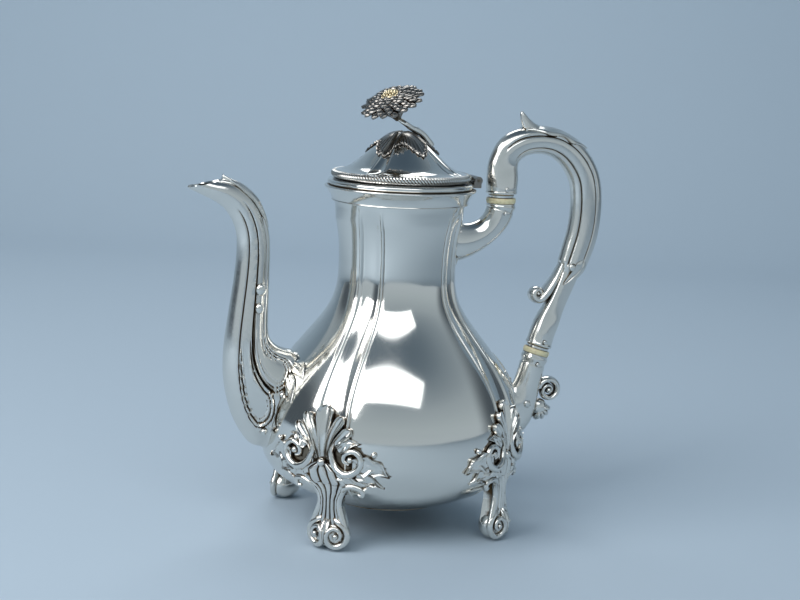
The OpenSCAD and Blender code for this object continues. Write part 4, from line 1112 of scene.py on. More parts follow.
    def thumb_leaf(self) -> None:
        """Lays the crinkled leaf along the crest of the handle, with its tip flicked up for the thumb."""
        def rise(t: Array, s: Array) -> Array:
            """Gives the leaf's height."""
            crinkle = 0.3 * np.cos(17.0 * t + 1.5 * s) * np.abs(s) * ease((t - 0.1) * 4.0)
            return 0.5 + 0.7 * bell(np.abs(s) - 0.85, 0.16) + 0.4 * bell(s, 0.14) + crinkle

        def half(t: Array) -> Array:
            """Gives half the leaf's width."""
            wave = 1.0 + 0.1 * np.cos(17.0 * t)
            return (3.4 + 3.0 * ease(t * 4.0)) * wave * clip((1.02 - t) / 0.3) ** 0.6

        length = run_lengths(self.frames(self.path())[0])
        start, stop = (length[int(place * self.steps)] for place in (self.leaf_from, self.leaf_to))
        spine = [(0.0, up) for up in np.linspace(start, stop, 9)]
        leaf = Casting()
        leaf.blade(self.on_handle(0.0), spine, half, rise, sink=0.8, columns=20, rows=96)
        across, up, girth = flow(self.horn, 8).T
        path = in_plane(np.stack([self.upper_ring[0] + across, self.upper_ring[1] + up], 1))
        leaf.sweep(path, girth, np.array([0.0, 1.0, 0.0]), flat=0.9, sides=24)
        leaf.done("handle_thumb_leaf", Body.POT, Slot.SILVER, CAST, "thumb_leaf")

    def curl(self) -> None:
        """Bends the inner scroll that leaves the handle and rolls up on itself."""
        rows = self.path()
        middle, outward = self.frames(rows)
        index = np.linspace(self.curl_from * self.steps, self.curl_to * self.steps, 9).astype(int)
        off = self.curl_off * np.linspace(0.0, 1.0, 9) ** 2.0
        lead = middle[index] - outward[index] * (rows[index, 2] - 1.6 + off)[:, None]
        lead = lead[:, [0, 2]]
        way = unit(lead[-1] - lead[-2])
        side = np.array([way[1], -way[0]])
        centre = lead[-1] + side * self.curl_r
        start = math.degrees(math.atan2(-side[1], -side[0]))
        rolled = spiral((centre[0], centre[1]), (self.curl_r, 1.2), (start, start - 400.0), 26)
        line = flow(np.concatenate([lead, rolled[1:]]), 3)
        path = in_plane(line)
        girth = np.interp(np.linspace(0, 1, len(path)), [0.0, 0.2, 0.45, 1.0], [1.4, 2.8, 2.3, 1.1])
        casting = Casting()
        casting.sweep(path, girth, np.array([0.0, 1.0, 0.0]), flat=1.9, sides=20)
        casting.bead((centre[0], 0.0, centre[1]), (1.6, 3.4, 1.6))
        casting.done("handle_curl_scroll", Body.POT, Slot.SILVER, CAST, "handle_curl")

    def rings(self) -> None:
        """Turns the two ivory rings that keep the heat from the hand."""
        for name, at, radius, tilt, node in (
                ("ring_upper", self.upper_ring, self.ring_r[0], 0.0, "upper_insulator"),
                ("ring_lower", self.lower_ring, self.ring_r[1], self.tilt, "lower_insulator")):
            half = self.ring_t / 2.0
            edge = [(radius - 0.35 + 0.5 * math.cos(a), half * 0.92 * math.sin(a))
                    for a in np.linspace(-1.5, 1.5, 15)]
            profile = [(0.0, -half), (radius * 0.6, -half), *edge, (radius * 0.6, half), (0.0, half)]
            place = Matrix.Translation((at[0], 0.0, at[1])) @ Matrix.Rotation(math.radians(tilt), 4, "Y")
            casting = Casting()
            casting.turned(profile, 72, place)
            casting.done(name, Body.POT, Slot.IVORY, IVORY, node)

    def pins(self) -> None:
        """Heads the four cross pins on both sides."""
        places = (("upper_handle_pin", self.upper_ring, self.ring_r[0], 0.0, 1.0),
                  ("upper_socket_pin", self.upper_ring, self.ring_r[0], 0.0, -1.0),
                  ("lower_handle_pin", self.lower_ring, self.ring_r[1], self.tilt, 1.0),
                  ("lower_socket_pin", self.lower_ring, self.ring_r[1], self.tilt, -1.0))
        for name, at, radius, tilt, up in places:
            way = Vector((math.sin(math.radians(tilt)), 0.0, math.cos(math.radians(tilt))))
            middle = Vector((at[0], 0.0, at[1])) + way * self.pin_off * up
            reach = radius + 0.35
            arc = np.linspace(0.0, math.pi / 2, 7)[:-1]
            dome = [(1.2 * math.cos(a), reach + 0.6 * math.sin(a)) for a in arc]
            top = [(0.8, 0.0), (0.8, reach - 0.05), *dome, (0.0, reach + 0.6)]
            profile = [(r, -z) for r, z in reversed(top[1:])] + top
            casting = Casting()
            casting.turned(profile, 24, Matrix.Translation(middle) @ Matrix.Rotation(math.pi / 2, 4, "X"))
            casting.done("head_" + name, Body.POT, Slot.DARK_SILVER, CAST, name)

    def socket(self, casting: Casting, bend: Sequence[Flat], root: Flat, seat_r: float, ribs: float) -> None:
        """Sweeps a socket from the body to its ring.

        Args:
            casting: The piece that it joins.
            bend: Four points of the bend, as (x, z).
            root: Half height and half width where it meets the body.
            seat_r: Its radius at the ring.
            ribs: Height of the leaf ridges along it.
        """
        count, sides = 72, 80
        turn = np.linspace(0.0, FULL, sides + 1)
        share = np.linspace(0.0, 1.0, count + 1)[:, None]
        a, b, c, d = [np.array(point, dtype=float) for point in bend]
        rest = 1.0 - share
        line = rest ** 3 * a + 3 * rest ** 2 * share * b + 3 * rest * share ** 2 * c + share ** 3 * d
        ahead = unit(np.gradient(line, axis=0))
        upward = np.stack([-ahead[:, 1], ahead[:, 0]], 1)
        swell = rest ** 2.8
        waist = self.waist * np.sin(math.pi * share) ** 2
        depth, width = mix(seat_r, root[0], swell) - waist, mix(seat_r, root[1], swell) - waist
        fold = np.degrees(np.arccos(np.cos(turn)))[None, :]
        fade = ease(share / 0.12) * ease(rest / 0.3)
        relief = ribs * (np.abs(np.cos(np.radians(fold * 1.5))) - 0.35) * fade
        relief = relief + 0.45 * bell((share - 0.955) * 60.0, 1.1) - 0.35 * bell((share - 0.90) * 60.0, 0.8)
        flat = line[:, None, :] + upward[:, None, :] * ((depth + relief) * np.cos(turn))[:, :, None]
        grid = np.stack([flat[:, :, 0], -(width + relief) * np.sin(turn), flat[:, :, 1]], 2)
        for row in range(8):
            seated = self.vessel.reach(grid[row, :, 1], grid[row, :, 2]) - 0.3
            lowest = np.maximum(seated, grid[row, :, 0] - 3.0) if row else seated
            grid[row, :, 0] = mix(grid[row, :, 0], lowest, 1.0 - ease(row / 8.0))
        casting.skin(ends_of(grid))

    def on_body(self, across: Number, up: Number, out: Number) -> Array:
        """Gives seats on the body below the handle: across in mm from its middle line, up the height."""
        return self.vessel.seat(np.degrees(across / self.vessel.radius(up)), up, out)

    def upper_socket(self) -> None:
        """Builds the elbow at the neck with a pointed leaf above and below its root."""
        casting = Casting()
        x, z = self.upper_ring[0], self.upper_ring[1] - self.ring_t / 2.0
        start = (self.vessel.neck_r, z - 21.4)
        self.socket(casting, (start, (start[0] + 15.5, start[1]), (x, z - 12.0), (x, z)), (11.5, 8.0),
                    self.ring_r[0] - 0.15, 0.35)
        for tip, root in ((137.0, 146.0), (169.5, 160.0)):
            casting.blade(self.on_body, [(0.0, root), (0.0, (root + tip) / 2.0), (0.0, tip)],
                          lambda t: 6.6 * (1.0 - t) ** 0.8,
                          lambda t, s: (0.4 + 1.0 * (1 - t)) * (1 + 0.4 * bell(s, 0.2)))
        casting.done("socket_upper", Body.POT, Slot.SILVER, POLISHED, "upper_socket")

    def lower_socket(self) -> None:
        """Builds the leaf cup with its volute, ribbed pendant and the tail that runs down the body."""
        casting = Casting()
        way = self.lower_way()
        seat = np.array([self.lower_ring[0], 0.0, self.lower_ring[1]]) - way * (self.ring_t / 2.0)
        start = (self.vessel.belly_r, 60.0)
        back = seat - way * 18.0
        bend = (start, (start[0] + 11.06, start[1] + 2.0), (back[0], back[2]), (seat[0], seat[2]))
        self.socket(casting, bend, (21.0, 6.6), self.ring_r[1] - 0.15, 0.7)
        upright = np.array([0.0, 1.0, 0.0])
        ring_x, ring_z = self.lower_ring
        volute_x, volute_z = ring_x + 8.6, ring_z - 22.6
        volute = spiral((volute_x, volute_z), (7.0, 1.4), (166.0, -400.0), 44)
        lead = np.array([(ring_x + 0.4, ring_z - 11.0), (ring_x + 1.0, ring_z - 15.6)])
        path = in_plane(flow(np.concatenate([lead, volute]), 2))
        casting.sweep(path, np.linspace(2.1, 1.1, len(path)), upright, flat=2.0, sides=18)
        casting.bead((volute_x, 0.0, volute_z), (1.9, 3.9, 1.9))
        bulb_x, bulb_z, rib_off = ring_x + 3.2, ring_z - 32.4, 3.6
        casting.bead((bulb_x, 0.0, bulb_z), (5.0, 4.6, 5.0))
        for fan in (-4.0, -36.0, -68.0, -100.0):
            turn = math.radians(fan)
            place = (bulb_x + rib_off * math.cos(turn), 0.0, bulb_z - 0.2 + rib_off * math.sin(turn))
            casting.bead(place, (3.8, 4.4, 2.1), Matrix.Rotation(-turn, 3, "Y"))
        for side in (-1.0, 1.0):
            casting.bead((ring_x - 6.6, side * 6.2, ring_z - 29.0), (2.2, 1.6, 2.2))
            casting.strand(self.on_body, [(side * 4.0, 92.0), (side * 6.4, 84.0), (side * 7.4, 74.0),
                                          (side * 6.0, 62.0), (side * 3.0, 50.0), (side * 0.5, 40.0)],
                           [0.5, 1.2, 1.6, 1.6, 1.4, 0.5])
            spike = [(side * 3.0, 71.0), (side * 9.5, 77.0), (side * 16.5, 84.0)]
            casting.blade(self.on_body, spike, lambda t: 5.4 * np.sin(math.pi * (0.3 + 0.7 * t)) ** 0.8,
                          lambda t, s: 0.6 + 0.9 * (1.0 - s * s) * (1.0 - 0.5 * t) - 0.5 * bell(s, 0.15))
            casting.bead(self.on_body(side * 11.0, 78.0, 0.8), (1.4, 1.4, 1.4))
        casting.blade(self.on_body, [(0.0, 60.0), (0.0, 48.0), (0.0, 36.0)],
                      lambda t: 6.0 * (1.0 - t) ** 0.7,
                      lambda t, s: (0.5 + 2.2 * (1.0 - t)) * (1.0 - 0.5 * s * s) + 0.4 * bell(s, 0.25))
        casting.done("socket_lower", Body.POT, Slot.SILVER, CAST, "lower_socket")

    def build(self) -> None:
        """Builds the handle and what holds it."""
        self.loop()
        self.thumb_leaf()
        self.curl()
        self.rings()
        self.pins()
        self.upper_socket()
        self.lower_socket()


@dataclass
class Foot:
    """One cast foot: a shell fan over two scrolls on the belly, a ribbed leg and a toe with two volutes."""

    vessel: Vessel
    node: str
    angle: float
    lean: float
    join_z: float = 36.0
    leg_r: float = 66.0
    back_r: float = 60.0
    toe_r: float = 64.0
    toe_z: float = 8.0
    toe_size: tuple = (7.0, 10.8, 8.2)
    volute_at: float = 5.2

    def axes(self) -> tuple[Array, Array]:
        """Gives the foot's outward and sideways directions."""
        cosine, sine = math.cos(math.radians(self.angle)), math.sin(math.radians(self.angle))
        return np.array([cosine, sine, 0.0]), np.array([-sine, cosine, 0.0])

    def seat(self, across: Number, up: Number, out: Number) -> Array:
        """Gives places on the foot's ground: on the body above the leg, and on the leg's front below.

        Args:
            across: Distance from the foot's middle line.
            up: Height.
            out: Distance out from the ground.

        Returns:
            The points.
        """
        across, up, out = together(across, up, out)
        shift = self.lean * ease((up - 30.0) / 14.0)
        held = np.maximum(up, self.join_z)
        angle = self.angle + np.degrees((across + shift) / self.vessel.radius(held))
        spot = self.vessel.seat(angle, held, out)
        spot[..., 2] = np.where(up < self.join_z, up, spot[..., 2])
        outward, sideways = self.axes()
        leg = outward * (self.leg_r + out)[..., None] + sideways * (across + shift)[..., None]
        leg[..., 2] = up
        return mix(spot, leg, ease((self.join_z - up) / 9.0)[..., None])

    def on_toe(self, across: Number, up: Number, out: Number) -> Array:
        """Gives places on the toe's round core.

        Args:
            across: Distance from the middle of its front.
            up: Distance over the middle of its front.
            out: Distance out from the core.

        Returns:
            The points.
        """
        across, up, out = together(across, up, out)
        depth, half, high = self.toe_size
        turn, rise = across / 9.5, np.clip(up / high, -1.45, 1.45)
        outward, sideways = self.axes()
        front = self.toe_r + (depth + out) * np.cos(turn) * np.cos(rise)
        spot = outward * front[..., None] + sideways * ((half + out) * np.sin(turn) * np.cos(rise))[..., None]
        spot[..., 2] = self.toe_z + (high + out) * np.sin(rise)
        return spot

    def both(self, points: Sequence[Flat], side: float) -> list[Flat]:
        """Gives a line's points on one side of the foot's middle."""
        return [(across * side, up) for across, up in points]

    def flute(self, casting: Casting, spine: Sequence[Flat], width: float, height: float) -> None:
        """Lays one hollow flute of the shell fan, with a raised rim.

        Args:
            casting: The piece that it joins.
            spine: Its middle line.
            width: Half its width near the end.
            height: How far it stands out.
        """
        def half(t: Array) -> Array:
            """Gives half the flute's width."""
            return width * (0.22 + 0.78 * t ** 1.1) * arch(clip((t - 0.8) / 0.2), 1.0)

        def top(t: Array, s: Array) -> Array:
            """Gives the flute's height."""
            rim = 0.9 * bell(np.abs(s) - 0.84, 0.13) * ease(t * 5.0)
            return height * (0.6 + 0.4 * t) * (0.42 + 0.5 * np.abs(s) ** 2.0) + rim

        casting.blade(self.seat, spine, half, top, columns=18, rows=36)

    def leaf(self, casting: Casting, spine: Sequence[Flat], width: float, height: float,
             teeth: float) -> None:
        """Lays one veined leaf with a toothed edge.

        Args:
            casting: The piece that it joins.
            spine: Its middle line.
            width: Half its width.
            height: How far its root stands out.
            teeth: Teeth along each edge.
        """
        def half(t: Array) -> Array:
            """Gives half the leaf's width."""
            tooth = 1.0 + 0.14 * np.cos(FULL * teeth * t)
            return width * np.sin(math.pi * (0.1 + 0.9 * t) ** 0.7) ** 0.8 * tooth

        def top(t: Array, s: Array) -> Array:
            """Gives the leaf's height."""
            wide = np.abs(s)
            vein = 0.6 * np.cos(FULL * teeth * (t + 0.35 * wide))
            return height * (1.0 - 0.55 * t) * (0.6 + 0.4 * wide) + vein * wide + 0.35 * bell(s, 0.13)

        casting.blade(self.seat, spine, half, top, columns=16, rows=32)

    def shield(self, casting: Casting) -> None:
        """Lays the ornament that spreads over the belly.

        Args:
            casting: The piece that it joins.
        """
        levels = np.array([(37.0, 13.0), (40.0, 20.0), (45.0, 26.0), (50.0, 26.0), (55.0, 22.0), (60.0, 16.0),
                           (66.0, 11.0), (71.0, 6.0), (73.0, 2.0)])
        low, high = levels[0, 0], levels[-1, 0]
        casting.blade(self.seat, [(0.0, float(z)) for z in np.linspace(low, high, 6)],
                      lambda t: np.interp(mix(low, high, t), levels[:, 0], levels[:, 1]),
                      lambda t, s: 0.45 + 0.0 * t * s, columns=24, rows=40, dark=True)
        self.flute(casting, [(0.0, 47.5), (0.0, 60.0), (0.0, 75.0)], 5.0, 3.2)
        casting.bead(self.seat(0.0, 46.4, 1.9), (2.2, 2.2, 2.2))
        for side in (-1.0, 1.0):
            self.flute(casting, self.both([(1.6, 48.0), (4.4, 60.0), (10.4, 70.5)], side), 3.2, 3.0)
            self.flute(casting, self.both([(2.8, 48.0), (7.6, 57.0), (15.6, 65.0)], side), 3.2, 2.6)
            self.leaf(casting, self.both([(9.0, 54.0), (14.5, 58.0), (20.5, 58.4)], side), 3.0, 2.0, 2.0)
            self.leaf(casting, self.both([(18.0, 47.4), (28.0, 47.2), (36.5, 42.6)], side), 4.6, 3.2, 3.0)
            self.leaf(casting, self.both([(9.0, 41.5), (18.0, 37.5), (27.0, 38.0)], side), 3.4, 2.4, 3.0)
            self.leaf(casting, self.both([(20.0, 43.0), (26.0, 40.0), (31.0, 35.6)], side), 2.6, 2.0, 2.0)
            scroll = [(6.4, 58.5), (5.0, 52.5), (7.0, 46.6), (10.4, 43.4), (15.4, 42.4), (20.6, 45.6),
                      (22.0, 50.6), (18.4, 54.4), (13.8, 52.8), (12.9, 49.2), (15.8, 47.6)]
            casting.strand(self.seat, self.both(scroll, side),
                           [0.6, 1.4, 1.8, 2.0, 2.0, 1.9, 1.7, 1.5, 1.3, 1.2, 0.9], lift=0.9)
            casting.bead(self.seat(16.4 * side, 50.0, 1.4), (1.7, 1.7, 1.7))
            casting.bead(self.seat(28.4 * side, 53.6, 1.0), (1.5, 1.5, 1.5))
            hook = [(6.0, 29.0), (9.0, 33.4), (14.0, 35.6), (18.6, 34.4), (18.8, 31.4), (16.6, 31.4)]
            casting.strand(self.seat, self.both(hook, side), [0.6, 1.4, 1.5, 1.4, 1.2, 0.9], lift=0.8)

    def leg(self, casting: Casting) -> None:
        """Lays the fluted leaf that runs from under the bead down the leg, with a strand along each edge.

        Args:
            casting: The piece that it joins.
        """
        top_z, low_z = 46.0, 10.0
        widths = np.array([(10.0, 8.6), (16.0, 7.0), (22.0, 5.4), (27.0, 5.4), (32.0, 8.0), (37.0, 13.0),
                           (42.0, 12.0), (46.0, 4.0)])

        def level(t: Array) -> Array:
            """Gives the height at a share of the leg."""
            return mix(top_z, low_z, t)

        def half(t: Array) -> Array:
            """Gives half the leg's width."""
            return np.interp(level(t), widths[:, 0], widths[:, 1])

        def face(t: Array, s: Array) -> Array:
            """Gives the height of the ribbed face."""
            body = np.interp(level(t), [10.0, 18.0, 26.0, 36.0, 46.0], [3.0, 2.4, 2.6, 2.8, 1.2])
            ribs = np.abs(np.cos(math.pi * 2.5 * s)) ** 0.6
            return body * np.sqrt(clip(1.05 - s * s)) + 1.5 * ribs * ease((level(t) - 8.0) / 8.0) - 0.9

        def sink(t: Array) -> Array:
            """Gives the depth of the leg's back."""
            back = np.maximum(self.back_r, self.vessel.radius(level(t)) - 0.4)
            return np.where(level(t) < self.join_z, self.leg_r - back, 0.3)

        spine = [(0.0, float(z)) for z in np.linspace(top_z, low_z, 10)]
        casting.blade(self.seat, spine, half, face, sink, 30, 72)
        for side in (-1.0, 1.0):
            edge = [(9.6, 12.0), (7.4, 17.5), (5.6, 23.0), (5.6, 27.0), (7.4, 31.0), (11.0, 34.6),
                    (14.6, 37.4)]
            casting.strand(self.seat, self.both(edge, side), [1.7, 1.8, 1.7, 1.6, 1.5, 1.3, 0.6], lift=0.4)

    def toe(self, casting: Casting) -> None:
        """Rolls the toe: a round core, a volute on each cheek and a leaf between them.

        Args:
            casting: The piece that it joins.
        """
        outward, sideways = self.axes()
        axes = Matrix((outward, sideways, (0.0, 0.0, 1.0))).transposed()
        casting.bead(outward * self.toe_r + np.array([0.0, 0.0, self.toe_z]), self.toe_size, axes, 44)
        for side in (-1.0, 1.0):
            line = spiral((0.0, 0.0), (7.6, 0.9), (58.0, -500.0), 24)
            points = [(self.volute_at * side, self.toe_size[2] * 1.3)]
            points += [((self.volute_at + x * 0.9) * side, y + 0.2) for x, y in line]
            casting.strand(self.on_toe, points, list(np.linspace(1.9, 0.8, 25)), lift=0.5, steps=3)
            casting.bead(self.on_toe(self.volute_at * side, 0.2, 0.8), (1.4, 1.4, 1.4))
        casting.blade(self.on_toe, [(0.0, 13.0), (0.0, 7.0), (0.0, 2.0), (0.0, -2.5)],
                      lambda t: 2.6 * np.sin(math.pi * (0.14 + 0.84 * t)) ** 0.7,
                      lambda t, s: 0.9 + 1.2 * (1.0 - s * s) + 0.3 * np.cos(9.0 * s), sink=2.5, columns=14)

    def build(self) -> None:
        """Builds the foot and cuts it flat where it stands."""
        casting = Casting()
        self.shield(casting)
        self.leg(casting)
        self.toe(casting)
        for vert in casting.mesh.verts:
            vert.co.z = max(vert.co.z, 0.0)
        casting.done("cast_" + self.node, Body.POT, Slot.SILVER, CAST, self.node)


@dataclass
class Lid(Panelled):
    """The hinged lid: a roped rim, a panelled dome, a draped leaf and a flower on a bent stem."""

    under_z: float = 187.3
    top_z: float = 191.9
    rim_r: float = 37.2
    bore_r: float = 33.5
    dome_r: float = 34.6
    crown_z: float = 211.4
    skew: float = 1.1
    bulge: float = 0.6
    ridge: float = 0.3
    sink: float = 1.3
    ridge_steps: tuple = (0.28, 0.5, 0.62, 0.85, 1.2)
    strip: float = 3.6
    wall: float = 0.9
    bead: float = 0.55
    bead_half: float = 0.55
    rope_mm: float = 1.75  # pitch of the rope, drawn coarser than the real one so that it shows
    leaf_r: float = 20.0
    leaf_crown: float = 1.6
    leaf_turn: float = -2.0
    lobes: int = 5
    flower_at: tuple = (-7.5, 0.0, 230.4)
    flower_tilt: float = 29.0
    flower_turn: float = -150.0

    def height(self, radius: Number) -> Array:
        """Gives the plain dome's height at a radius."""
        share = clip(np.asarray(radius) / self.dome_r)
        return mix(self.top_z, self.crown_z, (1.0 + np.cos(math.pi * share ** self.skew)) / 2.0)

    def half(self, radius: Number) -> Array:
        """Gives half a strip's width on the dome, in degrees."""
        width = self.strip * np.clip(np.asarray(radius) / 24.0, 0.45, 1.1)
        return np.degrees(np.arcsin(np.clip(width / np.maximum(radius, 1e-6), 0.0, 0.6)))

    def lobe(self, angle: Number, radius: Number) -> Array:
        """Gives how far the dome's panels, strips and ridge beads stand up.

        Args:
            angle: Angle round the dome, in degrees.
            radius: Distance from its middle.

        Returns:
            The rise over the plain dome.
        """
        rise, off = self.panels(angle, self.half(radius))
        rise = rise + self.bead * arch(np.radians(off) * radius, self.bead_half)
        return rise * np.sin(math.pi * clip(np.asarray(radius) / self.dome_r)) ** 0.7

    def rim(self) -> None:
        """Turns the rim and lays the rope along it."""
        edge, low, top = self.rim_r, self.under_z, self.top_z
        lower = [(self.bore_r + 1.4, low), (edge - 2.2, low), (edge - 1.0, low + 0.4),
                 (edge - 0.4, low + 0.9), (edge - 0.7, low + 1.5)]
        upper = [(edge - 0.9, top - 0.9), (edge - 1.4, top - 0.35), (edge - 2.4, top),
                 (self.bore_r + 0.4, top), (self.bore_r + 0.4, low + 0.6)]
        profile = lower + upper
        casting = Casting()
        casting.turned(profile + profile[:1], 160)
        middle_r, middle_z, size = edge - 1.5, low + 2.6, 1.7
        count = round(FULL * edge / self.rope_mm)
        around = np.linspace(0.0, FULL, count * 6 + 1)[:, None]
        section = np.linspace(0.0, FULL, 17)[None, :]
        twist = 0.8 * np.abs(np.cos(count / 2.0 * around + 2.0 * section)) - 0.5
        reach = middle_r + (size + twist) * np.cos(section)
        casting.skin(np.stack([reach * np.cos(around), reach * np.sin(around),
                               middle_z + (size + twist) * np.sin(section)], 2))
        casting.done("lid_rim_roped", Body.LID, Slot.SILVER, CAST, "lid_rim")

    def ring(self, radius: float, drop: float) -> Array:
        """Gives one row of points round the dome.

        Args:
            radius: Radius of the row.
            drop: 0 for the outside, the wall's thickness for the inside.

        Returns:
            The points of the row.
        """
        turns = self.turns(float(self.half(radius)), max(radius, 10.0), 7, 22)
        z = self.height(radius) + self.lobe(turns, radius) * (0.6 if drop else 1.0) - drop
        turns = np.radians(turns)
        return np.stack([radius * np.cos(turns), radius * np.sin(turns), z + np.zeros_like(turns)], 1)

    def dome(self) -> None:
        """Raises the panelled dome with its inside."""
        radii = np.concatenate([np.linspace(self.dome_r, 30.0, 14), np.linspace(29.4, 2.4, 52)])
        rows = [self.ring(float(radius), 0.0) for radius in radii]
        rows += [self.ring(float(min(radius, self.dome_r - 0.6)), self.wall) for radius in radii[::-3]]
        casting = Casting()
        casting.skin(np.array(rows + rows[:1]))
        casting.done("lid_dome_panelled", Body.LID, Slot.SILVER, POLISHED, "lid_dome")

    def on_dome(self, x: Number, y: Number, out: Number) -> Array:
        """Gives places over the dome.

        Args:
            x: Places along X.
            y: Places along Y.
            out: Distance out from the surface.

        Returns:
            The points.
        """
        x, y, out = together(x, y, out)
        radius = np.maximum(np.hypot(x, y), 1e-4)
        slope = (self.height(radius + 0.1) - self.height(np.maximum(radius - 0.1, 0.0))) / 0.2
        normal = unit(np.stack([-slope * x / radius, -slope * y / radius, np.ones_like(x)], -1))
        lobe = np.where(radius > 2.0, self.lobe(np.degrees(np.arctan2(y, x)), np.maximum(radius, 2.0)), 0.0)
        return np.stack([x, y, self.height(radius) + lobe], -1) + normal * out[..., None]

    def leaf(self) -> None:
        """Drapes the five-lobed leaf over the crown, crinkled and beaded along its edge."""
        turn = np.linspace(0.0, 360.0, 421)[None, :] - self.leaf_turn
        share = np.linspace(0.12, 1.0, 49)[:, None]
        phase = np.radians(turn * self.lobes)
        notch = 0.33 * np.abs(np.sin(phase / 2.0)) ** 1.5
        outline = self.leaf_r * (1.0 - notch + 0.016 * np.cos(np.radians(turn * 45.0)))
        off = np.degrees(np.arccos(np.cos(phase)))
        vein = 0.3 * bell(off, 16.0) * ease(share * 2.4 - 1.0)
        vein = vein + 0.25 * np.cos(np.radians(turn * 45.0)) * share ** 5
        edge = 0.6 * bell(share - 0.95, 0.04) * (0.8 + 0.4 * np.cos(np.radians(turn * 90.0)))
        rise = 0.5 + self.leaf_crown * bell(outline * share / self.leaf_r, 0.5) + vein + edge
        angle = np.radians(turn + self.leaf_turn)
        upper = self.on_dome(outline * share * np.cos(angle), outline * share * np.sin(angle), rise)
        under = np.linspace(1.0, 0.12, 9)[:, None]
        lower = self.on_dome(outline * under * np.cos(angle), outline * under * np.sin(angle), 0.1)
        casting = Casting()
        casting.skin(np.concatenate([upper, lower, upper[:1]]))
        casting.done("finial_leaf_draped", Body.LID, Slot.SILVER, TARNISHED, "finial_leaf")

    def bloom(self) -> Matrix:
        """Gives the flower's place and turn."""
        turn = Matrix.Rotation(math.radians(self.flower_turn), 4, "Z")
        tilt = Matrix.Rotation(math.radians(self.flower_tilt), 4, "Y")
        return Matrix.Translation(self.flower_at) @ turn @ tilt

    def stem(self) -> None:
        """Bends the stem from its root on the dome up to the flower."""
        neck = np.array(self.bloom() @ Vector((0.0, 0.0, -12.0)))
        points = [self.on_dome(16.4, 0.0, 0.9), self.on_dome(13.0, 0.0, 2.0), self.on_dome(9.0, 0.0, 3.2),
                  np.array([4.6, 0.0, self.crown_z + 3.8]), np.array([1.2, 0.0, self.crown_z + 6.0]), neck]
        path = flow(points, 10)
        share = np.linspace(0.0, 1.0, len(path))
        girth = mix(2.3, 1.3, share ** 0.6) * ease(0.35 + share * 9.0) + 0.35 * bell(share - 0.5, 0.04)
        casting = Casting()
        casting.sweep(path, girth, np.array([0.0, 1.0, 0.0]), sides=18)
        casting.done("finial_stem_bent", Body.LID, Slot.SILVER, CAST, "finial_stem")

    def calyx(self) -> None:
        """Casts the cup of sepals under the flower."""
        turns = np.linspace(0.0, FULL, 73)
        levels = flow([(1.4, -13.0), (2.4, -11.4), (3.6, -9.6), (5.6, -7.4), (8.4, -5.0), (7.0, -3.4),
                       (2.0, -2.4)], 6)
        rows = []
        for radius, z in levels:
            reach = radius * (1.0 + 0.1 * np.cos(6.0 * turns) * ease((radius - 1.5) / 3.0))
            rows.append(np.stack([reach * np.cos(turns), reach * np.sin(turns), np.full_like(turns, z)], 1))
        casting = Casting()
        casting.skin(ends_of(np.array(rows)))
        casting.placed(self.bloom())
        casting.done("flower_sepals", Body.LID, Slot.DARK_SILVER, OXIDISED, "flower_calyx")

    def petals(self, name: str, node: str, rows: Sequence[tuple[int, float, float, float, float]]) -> None:
        """Casts rings of spoon-shaped petals that bend down at their tips.

        Args:
            name: Name of the piece.
            node: The solid that it replaces.
            rows: For each ring its count, inner and outer radius, height and turn in degrees.
        """
        casting = Casting()
        for count, inner, outer, high, start in rows:
            width = math.pi * outer * 0.86 / count
            for index in range(count):
                angle = math.radians(start + 360.0 * index / count)
                sway = 0.4 * math.sin(index * 2.4 + start)

                def seat(x: Number, y: Number, out: Number, turn: float = angle, lift: float = high + sway,
                         span: Flat = (inner, outer)) -> Array:
                    """Gives places on the petal's bent sheet.

                    Args:
                        x: Distance from the flower's middle.
                        y: Distance from the petal's middle line.
                        out: Distance up from the sheet.
                        turn: The petal's turn, in radians.
                        lift: Height of the sheet.
                        span: The petal's inner and outer radius.

                    Returns:
                        The points.
                    """
                    share = clip((x - span[0]) / (span[1] - span[0]))
                    z = lift - 2.6 * (1.0 - share) ** 2 - 1.5 * share ** 3 + out
                    cosine, sine = math.cos(turn), math.sin(turn)
                    return np.stack([x * cosine - y * sine, x * sine + y * cosine, z], -1)

                def half(t: Array, widest: float = width) -> Array:
                    """Gives half the petal's width."""
                    return widest * (0.45 + 0.55 * ease(t / 0.6)) * arch(clip((t - 0.62) / 0.38), 1.0)

                casting.blade(seat, [(inner, 0.0), ((inner + outer) / 2.0, 0.0), (outer, 0.0)], half,
                              lambda t, s: 0.3 + 0.9 * (1.0 - s * s) * ease(t * 1.6), 0.15, 8, 16)
        casting.placed(self.bloom())
        casting.done(name, Body.LID, Slot.SILVER, TARNISHED, node)

    def heart(self) -> None:
        """Casts the gilt heart of the flower from a cluster of small beads."""
        casting = Casting()
        casting.bead((0.0, 0.0, 2.0), (4.4, 4.4, 2.0), None, 28)
        for count, radius, z in ((1, 0.0, 4.2), (6, 1.6, 3.9), (11, 3.1, 3.2), (15, 4.4, 2.2)):
            for index in range(count):
                angle = FULL * index / count + radius
                place = (radius * math.cos(angle), radius * math.sin(angle), z)
                casting.bead(place, (0.85, 0.85, 0.85), None, 10)
        casting.placed(self.bloom())
        casting.done("flower_heart_beaded", Body.LID, Slot.GILT, GILT, "flower_heart")

    def build(self) -> None:
        """Builds the lid."""
        self.rim()
        self.dome()
        self.leaf()
        self.stem()
        self.calyx()
        self.petals("flower_petals_outer", "flower_outer_petals",
                    [(17, 5.0, 17.6, -1.4, 0.0), (16, 5.0, 15.8, -0.2, 10.0)])
        self.petals("flower_petals_middle", "flower_middle_petals",
                    [(15, 4.4, 13.8, 0.8, 4.0), (13, 4.0, 11.8, 1.7, 15.0)])
        self.petals("flower_petals_inner", "flower_inner_petals",
                    [(12, 3.6, 9.8, 2.5, 0.0), (10, 3.2, 7.8, 3.2, 20.0)])
        self.heart()


